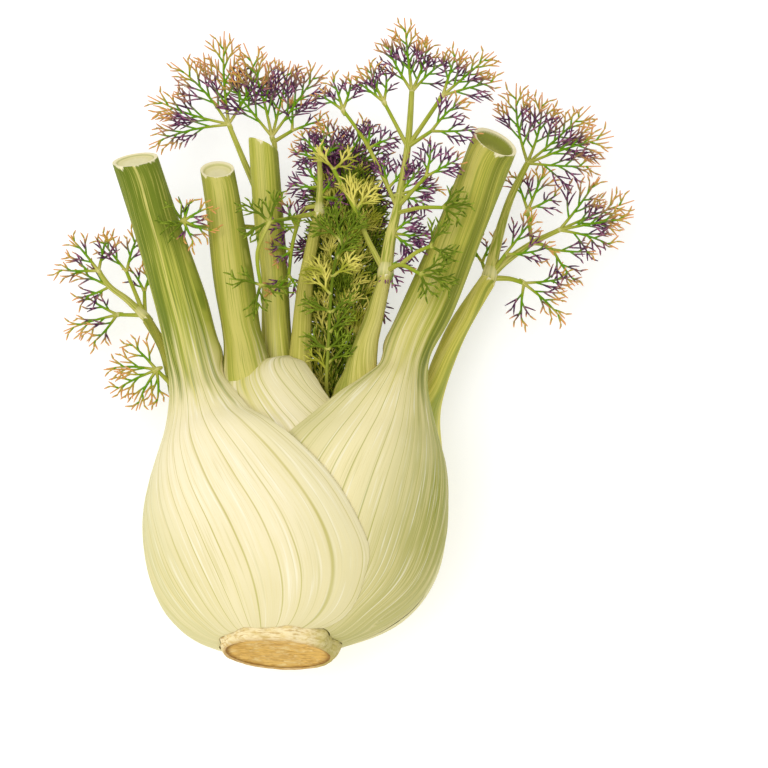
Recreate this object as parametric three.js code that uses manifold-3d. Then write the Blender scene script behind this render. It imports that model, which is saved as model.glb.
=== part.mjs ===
// A trimmed fennel bulb lying on its flattened back. Millimetres. Y runs along the bulb from the
// root end (-Y) to the stalks (+Y), X across its broad face and Z up from the surface it lies on.
// The origin is the middle of the small flat spot that the bulb rests on.
import * as THREE from 'three';
import { mergeVertices } from 'three/addons/utils/BufferGeometryUtils.js';
import Module from 'manifold-3d';

const wasm = await Module();
wasm.setup();

// ---------------------------------------------------------------- driving dimensions
const MIDDLE = 36; // height of the bulb's middle plane above the surface
const SHEATH = 3; // thickness of one leaf base at the belly
const CLEARANCE = 0.3; // space between neighbouring pieces
const LAYER = SHEATH + CLEARANCE; // step from one leaf base to the next one in
const SIDES = 15; // points round a leaf section
const STALK_SIDES = 10; // points round a stalk that joins its sheath
const REST_TRIM = 40; // height of the block that trims the back flat at Z = 0

const KNOB = 1.3; // radius of the node that a spray's rays leave
const ROOT_OFFSET = 0.95; // distance from the middle of a node to the root of its rays
const RAY_BASE = 0.72; // radius of a ray where it leaves its node
const LEAFLET_BASE = 0.62; // radius of a leaflet where it leaves its ray
const LEAFLET_PITCH = 14; // spacing of the pairs of leaflets along a ray
const THIN_STEM = 1; // a stem up to this radius has three sides
const SHORT_RAY = 15; // a shorter ray carries one pair
const SMALL_SPRAY = 13; // no node swells under a spray this short
const LEAFLET_ANGLE = 40; // degrees between a leaflet and its ray
const RAY_LIFT = 26; // degrees that rays spread up and down
const LEAFLET_LIFT = 60; // degrees that leaflets spread up and down

// Outline of the bulb seen on its broad face: [y, left x, right x, half depth].
const ENVELOPE = [
  [-53, -24.4, 13.1, 16.8],
  [-51, -30, 17.6, 20.4],
  [-48.6, -35.8, 24.3, 24],
  [-45, -40.2, 30.4, 27],
  [-41, -43.4, 35.8, 29.8],
  [-34.6, -46.9, 41.6, 33.2],
  [-27, -49.4, 45.5, 34.9],
  [-18, -50.8, 48, 36.3],
  [-8, -51, 49.2, 36.9],
  [3, -49.2, 49.2, 37.1],
  [14, -46.3, 48, 36.6],
  [24, -43.8, 46.9, 31.5],
];

// ---------------------------------------------------------------- small tools
const rad = THREE.MathUtils.degToRad;
const lerp = THREE.MathUtils.lerp;
const clamp = THREE.MathUtils.clamp;

/** Repeatable draw between 0 and 1 for a path of whole numbers. */
function draw(...path) {
  const seed = path.reduce((sum, step, i) => sum + step * (12.9898 + 7.31 * i), 0.5);
  const value = Math.sin(seed) * 43758.5453;
  return value - Math.floor(value);
}

/** Left, right and half depth of the bulb at y. */
function envelopeAt(y) {
  let i = 0;
  while (i < ENVELOPE.length - 2 && ENVELOPE[i + 1][0] < y) i += 1;
  const [low, high] = [ENVELOPE[i], ENVELOPE[i + 1]];
  const t = (y - low[0]) / (high[0] - low[0]);
  return {
    left: lerp(low[1], high[1], t),
    right: lerp(low[2], high[2], t),
    depth: lerp(low[3], high[3], t),
  };
}

/** One closed mesh through rings of points, capped at both ends. */
function skin(rings) {
  const sides = rings[0].length;
  const positions = rings.flat(2);
  const index = [];
  for (let r = 0; r < rings.length - 1; r += 1) {
    for (let i = 0; i < sides; i += 1) {
      const a = r * sides + i;
      const b = r * sides + ((i + 1) % sides);
      index.push(a, b, a + sides, b, b + sides, a + sides);
    }
  }
  const cap = (ring, start, flip) => {
    const hub = positions.length / 3;
    for (let axis = 0; axis < 3; axis += 1) {
      positions.push(ring.reduce((sum, point) => sum + point[axis], 0) / sides);
    }
    for (let i = 0; i < sides; i += 1) {
      const [a, b] = [start + i, start + ((i + 1) % sides)];
      index.push(...(flip ? [hub, b, a] : [hub, a, b]));
    }
  };
  cap(rings[0], 0, true);
  cap(rings.at(-1), (rings.length - 1) * sides, false);
  const geometry = new THREE.BufferGeometry();
  geometry.setAttribute('position', new THREE.Float32BufferAttribute(positions, 3));
  geometry.setIndex(index);
  return geometry;
}

/** A three.js geometry as a manifold solid whose faces point out. */
function solidOf(geometry) {
  geometry.deleteAttribute('normal');
  geometry.deleteAttribute('uv');
  const merged = mergeVertices(geometry, 1e-3);
  const vertices = merged.attributes.position.array;
  const corners = [];
  let volume = 0;
  const [a, b, c] = [new THREE.Vector3(), new THREE.Vector3(), new THREE.Vector3()];
  for (let i = 0; i < merged.index.count; i += 3) {
    const [p, q, r] = merged.index.array.slice(i, i + 3);
    if (p !== q && q !== r && r !== p) {
      corners.push(p, q, r);
      a.fromArray(vertices, 3 * p);
      b.fromArray(vertices, 3 * q);
      c.fromArray(vertices, 3 * r);
      volume += a.dot(b.cross(c));
    }
  }
  if (volume < 0) {
    corners.reverse();
  }
  return new wasm.Manifold(new wasm.Mesh({
    numProp: 3,
    vertProperties: new Float32Array(vertices),
    triVerts: new Uint32Array(corners),
  }));
}

/** The largest body of a solid; loose scraps are dropped. */
function largest(solid) {
  return solid.decompose().reduce((best, piece) => (piece.volume() > best.volume() ? piece : best));
}

function join(solids) {
  return solids.reduce((sum, solid) => sum.add(solid));
}

function boxesMeet(first, second) {
  const [a, b] = [first.boundingBox(), second.boundingBox()];
  return [0, 1, 2].every((axis) => a.min[axis] < b.max[axis] && b.min[axis] < a.max[axis]);
}

// ---------------------------------------------------------------- leaf bases and stalks
/**
 * One station of a leaf: the keel is the outer spine of the leaf and the far point lies opposite
 * it on the same ellipse. The front and back margins are the x where the sheath ends.
 */
function station(keel, far, depth, middle = MIDDLE, front = far[0], back = front) {
  return [...keel, ...far, depth, middle, front, back, 0];
}

/** A station on the bulb itself, `layer` sheaths in, with its keel on the named side. */
function belly(y, side, layer, front, back = front) {
  const { left, right, depth } = envelopeAt(y);
  const [outer, inner] = [layer.keel * LAYER, layer.far * LAYER];
  const keel = side === 'left' ? left + outer : right - outer;
  const far = side === 'left' ? right - inner : left + inner;
  return station([keel, y], [far, y], depth - layer.depth * LAYER, MIDDLE, front ?? far, back ?? far);
}

/** The same station as the end of a cut stalk; the further its slope is below 0, the more it faces up. */
function cutEnd(spot, slope) {
  return [...spot.slice(0, -1), slope];
}

/** Points round one section, grown outwards by `grow`. */
function section(spot, grow, sides) {
  const [keelX, keelY, farX, farY, depth, middle, front, back, slope] = spot;
  const outwards = Math.sign(farX - keelX);
  const centre = (keelX + farX) / 2;
  const half = Math.abs(farX - keelX) / 2;
  const lean = (farY - keelY) / (farX - keelX);
  const edge = (margin) => {
    const reach = (margin - centre) * outwards + grow;
    return Math.acos(clamp(reach / (half + grow), -1, 1));
  };
  const [start, end] = [edge(front), 2 * Math.PI - edge(back)];
  return Array.from({ length: sides }, (_, i) => {
    const angle = lerp(start, end, i / (sides - 1));
    const across = outwards * (half + grow) * Math.cos(angle);
    const up = (depth + grow) * Math.sin(angle);
    return [centre + across, (keelY + farY) / 2 + lean * across + slope * up, middle + up];
  });
}

/** A filled leaf: the whole space inside its outer surface, as a solid and as the grown tool. */
function filledLeaf(stations, sides = SIDES) {
  const build = (grow) => {
    const points = stations.map((spot) => section(spot, grow, sides));
    const [first, last] = [points[0], points.at(-1)];
    points[0] = first.map(([x, y, z]) => [x, y - grow, z]);
    points[points.length - 1] = last.map(([x, y, z]) => [x, y + grow, z]);
    return solidOf(skin(points));
  };
  return { body: build(0), tool: build(CLEARANCE) };
}

// ---------------------------------------------------------------- the stem at the root end
// Rings of the short stem: [y, half width, half depth, lobes]. The cut root face comes first, then
// the knobbly collar of trimmed leaf bases and the cone that the leaves grow from.
const STEM = { x: -6.2, widest: -52, tilt: -0.06, sides: 27 };
const LOBES = [9, 5]; // two rounds of knobs on the collar, the second one smaller
const SECOND_ROUND = 0.6;
const STEM_RINGS = [
  [-55.8, 16.9, 15, 0],
  [-56.3, 17.6, 15.7, 0.008],
  [-55, 18.6, 16.7, 0.02],
  [-52.6, 19.5, 17.8, 0.03],
  [-50.6, 19.8, 18.2, 0.028],
  [-49.6, 18.8, 17.2, 0.012],
  [-49.3, 14, 12, 0],
  [-26, 2.5, 2.5, 0],
];

function stemRing([y, width, depth, lobe], grow) {
  const along = y + Math.sign(y - STEM.widest) * grow;
  return Array.from({ length: STEM.sides }, (_, i) => {
    const angle = (2 * Math.PI * i) / STEM.sides;
    const knobs = Math.cos(LOBES[0] * angle) + SECOND_ROUND * Math.cos(LOBES[1] * angle + 1);
    const swell = 1 + lobe * knobs;
    const across = (width * swell + grow) * Math.cos(angle);
    const up = (depth * swell + grow) * Math.sin(angle);
    return [STEM.x + across, along + STEM.tilt * across, MIDDLE + up];
  });
}

function stemBase() {
  const build = (grow) => solidOf(skin(STEM_RINGS.map((ring) => stemRing(ring, grow))));
  return { body: build(0), tool: build(CLEARANCE) };
}

/** A leaf whose stalk stands proud of the rounded shoulder of its sheath. */
function shoulderedLeaf(sheath, stalk, sides) {
  const [low, high] = [filledLeaf(sheath, sides), filledLeaf(stalk, STALK_SIDES)];
  return { body: low.body.add(high.body), tool: low.tool.add(high.tool) };
}

// ---------------------------------------------------------------- the leaves, from the heart out
const HEART = { keel: 6, far: 6, depth: 6 };
const CENTRE = { keel: 5, far: 5, depth: 5 };
const LEFT_THIRD = { keel: 3, far: 4, depth: 4 };
const RIGHT_SECOND = { keel: 1, far: 3, depth: 3 };
const LEFT_SECOND = { keel: 1, far: 1, depth: 2 };
const RIGHT_OUTER = { keel: 0, far: 1, depth: 1 };
const LEFT_OUTER = { keel: 0, far: 0, depth: 0 };

const heartLeaf = () => filledLeaf([
  belly(-44, 'left', HEART),
  belly(-28, 'left', HEART),
  belly(-8, 'left', HEART),
  belly(6, 'left', HEART),
  station([-4, 18], [19, 18], 7.5, 34),
  station([6, 28], [16, 28], 4, 33),
], 11);

const centreLeaf = () => filledLeaf([
  belly(-46, 'left', CENTRE),
  belly(-28, 'left', CENTRE),
  belly(-8, 'left', CENTRE),
  belly(6, 'left', CENTRE),
  station([-13, 18], [20, 18], 12, 37.5),
  station([-5.5, 30], [8, 30], 6.8, 41.5),
  station([-3.8, 42], [4.2, 42], 3.8, 43.8),
  station([-1.5, 67.8], [4.2, 67.8], 2.8, 42.5),
  station([0.7, 81.4], [5.1, 81.4], 2.3, 42),
  station([4, 97.5], [8, 97.5], 2, 42),
], 11);

const leftThirdLeaf = () => filledLeaf([
  belly(-48, 'left', LEFT_THIRD),
  belly(-28, 'left', LEFT_THIRD),
  belly(-8, 'left', LEFT_THIRD),
  belly(6, 'left', LEFT_THIRD),
  station([-28, 17], [24, 17], 16, 36),
  station([-18.5, 29], [8, 29], 10.5, 36),
  station([-12.6, 41], [-0.5, 41], 6.4, 36),
  station([-12, 56], [-3, 56], 4.7, 35.3),
  station([-13.5, 78], [-4.4, 78], 4.7, 34),
  station([-16.4, 100], [-6.2, 100], 4.9, 33),
  cutEnd(station([-18.8, 131], [-8.4, 126], 4.4, 32), -0.1),
], 11);

const slenderLeaf = () => filledLeaf([
  station([-20, -10], [6, -10], 5, 15),
  station([-18, 12], [-1, 12], 4.3, 18),
  station([-15.4, 32], [-6.6, 32], 3.2, 22.5),
  station([-13.6, 56], [-8.6, 56], 2.3, 24.6),
  station([-14.2, 99], [-10.4, 99], 1.8, 24),
], 9);

const rightSecondLeaf = () => filledLeaf([
  belly(-49, 'right', RIGHT_SECOND),
  belly(-32, 'right', RIGHT_SECOND),
  belly(-12, 'right', RIGHT_SECOND),
  belly(4, 'right', RIGHT_SECOND, -22),
  station([39.5, 15], [-22, 15], 21, 36.5, -6),
  station([33, 26], [2, 26], 14.5, 39.5, 8.5),
  station([26.4, 36], [12.6, 35], 7, 44.6),
  station([26, 47], [16.9, 46], 4.9, 46),
  station([27.7, 57], [20.6, 56], 3.8, 46),
  station([30.7, 73], [25.9, 72], 2.7, 46),
], 11);

const leftSecondLeaf = () => shoulderedLeaf([
  belly(-50, 'left', LEFT_SECOND, 6),
  belly(-41, 'left', LEFT_SECOND, 20),
  belly(-25, 'left', LEFT_SECOND, 29),
  belly(-6, 'left', LEFT_SECOND, 29),
  belly(9, 'left', LEFT_SECOND, 21),
  station([-40.5, 19], [33, 19], 26, 36, 15),
  station([-37, 28], [24, 28], 22.4, 36.6, 9.5),
  station([-30, 35], [17, 35], 18.4, 37.6, 6),
  station([-21, 40.4], [12.5, 40.8], 13.4, 38.6, 2.5),
  station([-13.5, 43.4], [7, 43.8], 8.4, 39.4, -0.5),
  station([-7.5, 45.2], [1.5, 45.4], 3.6, 39.8),
], [
  station([-27, 22], [-10, 22], 10, 38),
  station([-29, 30], [-6, 30], 16.5, 38.4),
  station([-26.5, 37], [-7.4, 37], 14, 40.6),
  station([-25.4, 47], [-10.8, 47.6], 8.4, 41.2),
  station([-26.2, 56], [-13.4, 57.4], 6.6, 41.2),
  station([-29.4, 74], [-15.8, 76], 6.2, 41),
  station([-32.4, 99.7], [-20.4, 101.6], 5.8, 41),
  cutEnd(station([-34.6, 114.4], [-23.1, 115.6], 5.6, 41), -1.02),
], 13);

const rightOuterLeaf = () => filledLeaf([
  belly(-52.4, 'right', RIGHT_OUTER, -14),
  belly(-45, 'right', RIGHT_OUTER, -18),
  belly(-34.6, 'right', RIGHT_OUTER, -22),
  belly(-18, 'right', RIGHT_OUTER, -20),
  belly(-3, 'right', RIGHT_OUTER, -12),
  belly(8, 'right', RIGHT_OUTER, -3.5),
  station([46.6, 17], [-34, 17], 30.6, MIDDLE, 5.5),
  station([44.6, 25], [-15, 25], 26.2, 37, 13),
  station([43, 32.5], [6, 33], 19.6, 38.6, 20.5),
  station([42.6, 39.5], [20.5, 41], 12.6, 40.2, 25.4),
  station([44, 47.5], [28.6, 52.5], 8.6, 41.5),
  station([51.2, 61.5], [35.4, 68], 7.6, 42.2),
  station([61.4, 89], [47.2, 96.2], 7.1, 43.6),
  cutEnd(station([72.8, 118.8], [59, 128], 6.8, 45), -0.92),
]);

const leftOuterLeaf = () => filledLeaf([
  belly(-52.4, 'left', LEFT_OUTER, 7),
  belly(-48.6, 'left', LEFT_OUTER, 16, 14),
  belly(-41, 'left', LEFT_OUTER, 22.4, 21),
  belly(-31, 'left', LEFT_OUTER, 24.6, 26),
  belly(-19, 'left', LEFT_OUTER, 19.6, 28),
  belly(-8, 'left', LEFT_OUTER, 12.4, 28),
  belly(3, 'left', LEFT_OUTER, 2, 24),
  belly(12, 'left', LEFT_OUTER, -8.5, 12),
  station([-44.8, 20], [28, 20], 29.6, MIDDLE, -16.8, -8),
  station([-43.6, 28], [2, 28.6], 20.8, 37.4, -20.6),
  station([-43.4, 36], [-17.6, 38], 12, 39.2, -23),
  station([-44.4, 45], [-26.2, 49.4], 8.5, 40.8),
  station([-48.4, 63], [-31.8, 68.4], 7.4, 42),
  station([-56.2, 90], [-41, 94.4], 6.8, 43.5),
  cutEnd(station([-64.2, 115], [-49, 118.4], 6.5, 45), -0.81),
]);

const rightBackLeaf = () => filledLeaf([
  station([10, -51.5], [-5, -51.5], 9, 29.5),
  station([33.4, -42], [-4, -42], 19, 29),
  station([45.4, -26], [-3, -26], 25.2, 26.4),
  station([49.2, -6], [-2, -6], 26.6, 26),
  station([48.7, 8], [1, 8], 26, 25.6),
  station([47.4, 20], [14, 20], 20, 24.6),
  station([46.9, 30], [29, 30], 12.5, 24.8),
  station([48.2, 38.5], [39.4, 39], 6.6, 25.4),
  station([51.8, 50], [44.6, 52], 4.3, 25.6),
  station([57.2, 63.5], [50.6, 66], 3.8, 24.4),
  station([66, 80.5], [61.2, 83.5], 2.9, 22.2),
], 12);

const leftBackLeaf = () => filledLeaf([
  station([-22, -51.5], [-9, -51.5], 9, 29.5),
  station([-41, -42], [-9, -42], 19, 29),
  station([-49, -26], [-6, -26], 25.2, 26.4),
  station([-50.6, -6], [-5, -6], 26.6, 26),
  station([-47.6, 8], [-7, 8], 25.6, 25.2),
  station([-43.8, 20], [-22, 20], 16, 22),
  station([-43.2, 30], [-34, 30], 8, 20),
  station([-44.6, 40], [-40.6, 41], 3.2, 20.5),
  station([-48.4, 56.4], [-45.1, 57.8], 1.9, 19.6),
  station([-54.6, 68.6], [-52.4, 71.4], 1.6, 17.4),
], 12);

// ---------------------------------------------------------------- the fronds
/** A unit vector from a heading and a lift in degrees. */
function pointing(heading, lift) {
  return new THREE.Vector3(
    Math.cos(rad(lift)) * Math.cos(rad(heading)),
    Math.cos(rad(lift)) * Math.sin(rad(heading)),
    Math.sin(rad(lift)),
  );
}

/**
 * A three-sided ray that tapers to a point. At each of its nodes a short stretch of the left and of
 * the right face is drawn out into a needle, so a ray and its leaflets are one skin.
 */
function ray(from, heading, lift, length, nodes, grow) {
  const along = pointing(heading, lift);
  const side = pointing(heading - 90, 0);
  const over = new THREE.Vector3().crossVectors(side, along);
  const start = new THREE.Vector3(...from);
  const points = [];
  const corners = [];
  const ring = (t) => {
    const radius = RAY_BASE * (1 - 0.5 * t) + grow;
    const centre = start.clone().addScaledVector(along, length * t);
    points.push(
      centre.clone().addScaledVector(over, radius),
      centre.clone().addScaledVector(side, 0.87 * radius).addScaledVector(over, -0.5 * radius),
      centre.clone().addScaledVector(side, -0.87 * radius).addScaledVector(over, -0.5 * radius),
    );
    return points.length - 3;
  };
  const wall = (first, second, i, j) => corners.push(
    first + i, first + j, second + i, first + j, second + j, second + i);
  let last = ring(0);
  corners.push(last, last + 2, last + 1);
  const stretch = (LEAFLET_BASE + grow) / length;
  for (const { t, leaflets } of nodes) {
    const before = ring(t - stretch);
    [[0, 1], [1, 2], [2, 0]].forEach(([i, j]) => wall(last, before, i, j));
    const after = ring(t + stretch);
    const centre = start.clone().addScaledVector(along, length * t);
    [[0, 1], [2, 0]].forEach(([i, j], k) => {
      const end = centre.clone().addScaledVector(leaflets[k].direction, leaflets[k].length);
      const tip = points.push(end) - 1;
      corners.push(before + i, before + j, tip, before + j, after + j, tip);
      corners.push(after + j, after + i, tip, after + i, before + i, tip);
    });
    wall(before, after, 1, 2);
    last = after;
  }
  const tip = points.push(start.clone().addScaledVector(along, length)) - 1;
  corners.push(last, last + 1, tip, last + 1, last + 2, tip, last + 2, last, tip);
  const geometry = new THREE.BufferGeometry();
  const positions = points.flatMap((point) => point.toArray());
  geometry.setAttribute('position', new THREE.Float32BufferAttribute(positions, 3));
  geometry.setIndex(corners);
  return solidOf(geometry);
}

/** A tapered stem along hand-set points. */
function stem(points, startRadius, endRadius, grow) {
  const sides = startRadius > THIN_STEM ? 4 : 3;
  const curve = new THREE.CatmullRomCurve3(points.map((point) => new THREE.Vector3(...point)));
  const steps = points.length - 1;
  const rings = Array.from({ length: steps + 1 }, (_, k) => {
    const centre = curve.getPoint(k / steps);
    const along = curve.getTangent(k / steps);
    const side = new THREE.Vector3(along.y, -along.x, 0).normalize();
    const over = new THREE.Vector3().crossVectors(side, along);
    const radius = lerp(startRadius, endRadius, k / steps) + grow;
    return Array.from({ length: sides }, (_, i) => {
      const angle = (2 * Math.PI * i) / sides;
      return centre.clone()
        .addScaledVector(side, radius * Math.cos(angle))
        .addScaledVector(over, radius * Math.sin(angle))
        .toArray();
    });
  });
  return solidOf(skin(rings));
}

/**
 * A fan of rays from a hub, each with pairs of leaflets:
 * [hub, heading, spread, reach, rays, upward lift].
 */
function spray([hub, heading, spread, reach, rays, upward = 0], key, grow, knobbed) {
  const knob = new THREE.IcosahedronGeometry(KNOB + grow, 0);
  knob.translate(...hub);
  const onNode = knobbed && rays > 2 && reach > SMALL_SPRAY;
  const solids = onNode ? [solidOf(knob)] : [];
  for (let r = 0; r < rays; r += 1) {
    const share = rays > 1 ? r / (rays - 1) - 0.5 : 0;
    const rayHeading = heading + spread * share + 10 * (draw(key, r, 1) - 0.5);
    const rayLift = upward + RAY_LIFT * (draw(key, r, 2) - 0.5);
    const length = reach * (1 - 0.7 * share * share) * (0.86 + 0.2 * draw(key, r, 3));
    const pairs = Math.max(length < SHORT_RAY ? 1 : 2, Math.round(length / LEAFLET_PITCH));
    const nodes = Array.from({ length: pairs }, (_, i) => {
      const t = pairs > 1 ? 0.3 + (0.52 * i) / (pairs - 1) : 0.5;
      const leaflets = [-1, 1].map((side) => ({
        direction: pointing(
          rayHeading + side * (LEAFLET_ANGLE + 16 * (draw(key, r, 4, i, side + 1) - 0.5)),
          rayLift + LEAFLET_LIFT * (draw(key, r, 5, i, side + 1) - 0.5),
        ),
        length: length * (0.47 - 0.3 * t),
      }));
      return { t, leaflets };
    });
    const sink = pointing(rayHeading, rayLift).multiplyScalar(onNode ? ROOT_OFFSET : 0);
    const from = hub.map((value, axis) => value + sink.getComponent(axis));
    solids.push(ray(from, rayHeading, rayLift, length, nodes, grow));
  }
  return solids;
}

/** Every solid of a frond, with all its radii grown by `grow`. */
function frondSolids(frond, grow) {
  const solids = frond.stems.map(([start, end, ...points]) => stem(points, start, end, grow));
  frond.sprays.forEach((fan, i) => solids.push(...spray(fan, frond.key * 40 + i, grow, !frond.core)));
  if (frond.core) {
    const points = frond.core.map(([x, y, z, width, depth]) => section(
      station([x - width, y], [x + width, y], depth, z), grow, 9));
    solids.push(solidOf(skin(points)));
  }
  return solids;
}

// Each stem is [start radius, end radius, ...points]; each spray is
// [hub, heading, spread, reach, rays, upward lift].
const FRONDS = {
  frond_right_back: {
    key: 1,
    stems: [
      [2.4, 1, [63.8, 82.6, 22.2], [67, 96.5, 24], [71.5, 111, 26], [77.5, 123.5, 28]],
      [1.8, 0.8, [63.9, 82.9, 22.2], [69, 88.5, 22], [79, 96, 22], [88.5, 101, 22]],
      [0.8, 0.6, [79, 96, 22], [82, 96, 21], [86, 94.5, 20]],
      [0.8, 0.6, [79, 96, 22], [78, 102, 24], [77.5, 107, 25]],
      [1.1, 0.7, [64.4, 82.8, 22], [71, 83.5, 20], [76, 82.5, 18.5]],
      [1, 0.6, [64.2, 83.4, 22], [69.5, 90, 26]],
      [0.9, 0.6, [63.4, 83.2, 22], [61.8, 90, 19]],
    ],
    sprays: [
      [[77.5, 123.5, 28], 47, 110, 35, 5],
      [[88.5, 101, 22], 18, 70, 29, 4],
      [[77.5, 107, 25], 68, 76, 18, 3],
      [[86, 94.5, 20], -36, 50, 21, 2, 4],
      [[76, 82.5, 18.5], -46, 100, 20, 3, 3],
      [[69.5, 90, 26], 26, 50, 22, 2, 6],
      [[61.8, 90, 19], 92, 50, 15, 2],
    ],
  },
  frond_left_back: {
    key: 2,
    stems: [
      [1.5, 0.8, [-53.6, 70.4, 17.2], [-60, 76.5, 18], [-66, 81, 19], [-70, 86.5, 20]],
      [0.8, 0.6, [-54.5, 71, 17.4], [-63.5, 72, 15.5]],
      [0.9, 0.6, [-54.2, 71.4, 17.4], [-60.3, 86, 20]],
      [0.8, 0.6, [-53.8, 71.2, 17.4], [-54.4, 80.5, 15.5]],
    ],
    sprays: [
      [[-70, 86.5, 20], 130, 100, 20, 3],
      [[-66, 81, 19], 176, 50, 18, 2],
      [[-60.3, 86, 20], 102, 50, 20, 2],
      [[-63.5, 72, 15.5], 194, 90, 18, 3, 3],
      [[-54.4, 80.5, 15.5], 98, 40, 13, 2, 3],
    ],
  },
  frond_left_low: {
    key: 3,
    stems: [[0.9, 0.6, [-43.6, 43.5, 21.5], [-46.6, 46, 23.4], [-48.8, 48.2, 24]]],
    sprays: [[[-48.8, 48.2, 24], 205, 140, 17, 5]],
  },
  frond_slender: {
    key: 4,
    stems: [
      [1.8, 0.8, [-12.2, 99.4, 24], [-15, 112, 24.4], [-21, 127, 25], [-26, 139.5, 26]],
      [1.3, 0.8, [-12.2, 99.6, 24], [-10, 129.5, 22.6], [-11, 136.5, 22.4]],
      [0.9, 0.6, [-12.3, 100.5, 24], [-22, 101, 25], [-31, 99.5, 28], [-36, 94, 40], [-39, 89.5, 54]],
      [0.8, 0.6, [-11, 134, 22.6], [-4, 138, 24]],
    ],
    sprays: [
      [[-26, 139.5, 26], 128, 130, 34, 5],
      [[-11, 136.5, 22.4], 92, 76, 36, 4],
      [[-4, 138, 24], 55, 70, 14, 2],
      [[-39, 89.5, 54], 180, 110, 9, 3],
      [[-39, 89.5, 54], 5, 140, 11, 4],
    ],
  },
  frond_centre_right: {
    key: 5,
    stems: [
      [2.5, 0.9, [28.4, 73.4, 46], [30, 85.5, 48], [32.5, 96.5, 50], [36, 119, 50], [37.5, 141, 48]],
      [1.1, 0.7, [28, 74.6, 46.4], [22, 87, 47.4], [18.5, 96, 48.4], [11, 111.5, 47.6]],
      [1, 0.6, [29, 74.4, 46.6], [33.5, 74, 53], [39.9, 68.7, 57.5]],
      [0.8, 0.6, [32.5, 96.5, 50], [25, 115, 48], [20.5, 124.5, 47], [14, 135, 46]],
      [0.9, 0.6, [32.5, 96.5, 50], [42, 105, 56]],
      [0.8, 0.6, [32.2, 94.5, 49.6], [40, 93.5, 56], [47.5, 92.9, 57.5]],
      [0.8, 0.6, [36, 119, 50], [28, 136, 50]],
      [0.9, 0.7, [36, 119, 50], [48, 138, 51]],
      [0.8, 0.6, [36, 119, 50], [44, 122.5, 55]],
      [0.8, 0.6, [33.5, 74, 53], [38.6, 76.8, 56.6], [43.3, 78.7, 57.5]],
    ],
    sprays: [
      [[37.5, 141, 48], 84, 70, 27, 4],
      [[48, 138, 51], 46, 56, 25, 3],
      [[44, 122.5, 55], 26, 50, 20, 2],
      [[28, 136, 50], 112, 56, 17, 3],
      [[42, 105, 56], 54, 50, 18, 2, 4],
      [[47.5, 92.9, 57.5], 6, 90, 10, 3, 5],
      [[14, 135, 46], 106, 66, 15, 3],
      [[11, 111.5, 47.6], 85, 80, 12, 2],
      [[18.5, 96, 48.4], 78, 50, 14, 2, 6],
      [[39.9, 68.7, 57.5], -18, 90, 12, 3, 4],
      [[43.3, 78.7, 57.5], 20, 80, 11, 2, 4],
      [[22.5, 119.5, 47.6], 55, 60, 14, 2],
      [[29.5, 104, 49.4], 76, 50, 15, 2],
      [[33.2, 101, 50.6], 12, 80, 15, 3, 5],
      [[30.6, 87.5, 48.8], -4, 70, 14, 3, 6],
      [[29.5, 77, 47.4], -48, 60, 10, 2, 5],
    ],
  },
  frond_centre_left: {
    key: 6,
    stems: [
      [1.7, 0.8, [6, 97, 42], [6.3, 108, 42], [6, 118, 42]],
      [1, 0.6, [5.4, 98, 42], [-1.5, 94.5, 46.5], [-10.3, 89.7, 53]],
      [0.8, 0.6, [-10.3, 89.7, 53], [-14.2, 79, 52], [-12.9, 66.7, 53]],
      [0.8, 0.6, [6.1, 100.5, 42], [1, 99.5, 42], [-1.5, 93, 41.4], [-3.2, 85, 40.6], [-4, 76, 40]],
    ],
    sprays: [
      [[6, 118, 42], 100, 110, 14, 4],
      [[6.3, 108, 42], 155, 60, 15, 2],
      [[-10.3, 89.7, 53], 110, 200, 13, 4, 5],
      [[-12.9, 66.7, 53], -100, 180, 13, 3, 5],
      [[-1.5, 93, 41.4], 150, 70, 12, 2],
      [[-3.2, 85, 40.6], 195, 60, 9, 2],
      [[-4, 76, 40], -95, 70, 11, 2],
      [[6.3, 104, 42.4], 25, 60, 12, 2, 5],
    ],
  },
  frond_inner: {
    key: 7,
    stems: [
      [1, 0.6, [10.5, 27, 36.5], [9, 34, 43], [9.5, 45, 48.5], [10.8, 70, 50], [13.5, 84.5, 50]],
    ],
    sprays: [
      [[13.5, 84.5, 50], 100, 90, 15, 3],
      [[10.9, 71, 50], 95, 110, 13, 2],
      [[10.5, 58, 50], 95, 110, 13, 2],
      [[9.5, 45, 49], 95, 100, 11, 2],
    ],
  },
  frond_heart: {
    key: 8,
    core: [
      [10.5, 27.5, 31.5, 2.6, 2],
      [12, 44, 33, 4.4, 3],
      [14.5, 72, 30.5, 6.6, 3.8],
      [15.5, 102, 28.5, 6, 3.6],
      [14.5, 124, 27, 2.4, 2],
    ],
    stems: [],
    sprays: [
      [[14.5, 123, 27], 90, 150, 20, 4],
      [[17, 108, 28.4], 42, 56, 20, 2],
      [[13, 108, 28.4], 138, 56, 20, 2],
      [[17, 90, 29.4], 26, 60, 20, 2],
      [[12, 90, 29.4], 152, 60, 19, 2],
      [[16, 70, 31], 20, 70, 18, 2],
      [[12, 70, 31], 158, 60, 17, 2],
      [[14, 52, 33], 90, 120, 13, 2],
      [[15.4, 104, 30], 84, 240, 14, 3, 34],
      [[15, 86, 31], 96, 240, 14, 3, 34],
      [[14, 66, 32], 86, 240, 14, 3, 34],
    ],
  },
};

// ---------------------------------------------------------------- colours
const colours = {
  root: '#b98f4c',
  sheath: '#ece6c0',
  stalk: '#b9bd5c',
  frond: '#6f8a2c',
  heart: '#46641f',
};

const material = (colour) => new THREE.MeshStandardMaterial({
  color: colours[colour],
  roughness: 0.55,
  metalness: 0,
});

// ---------------------------------------------------------------- assembly
const group = new THREE.Group();
const placed = [];

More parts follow.
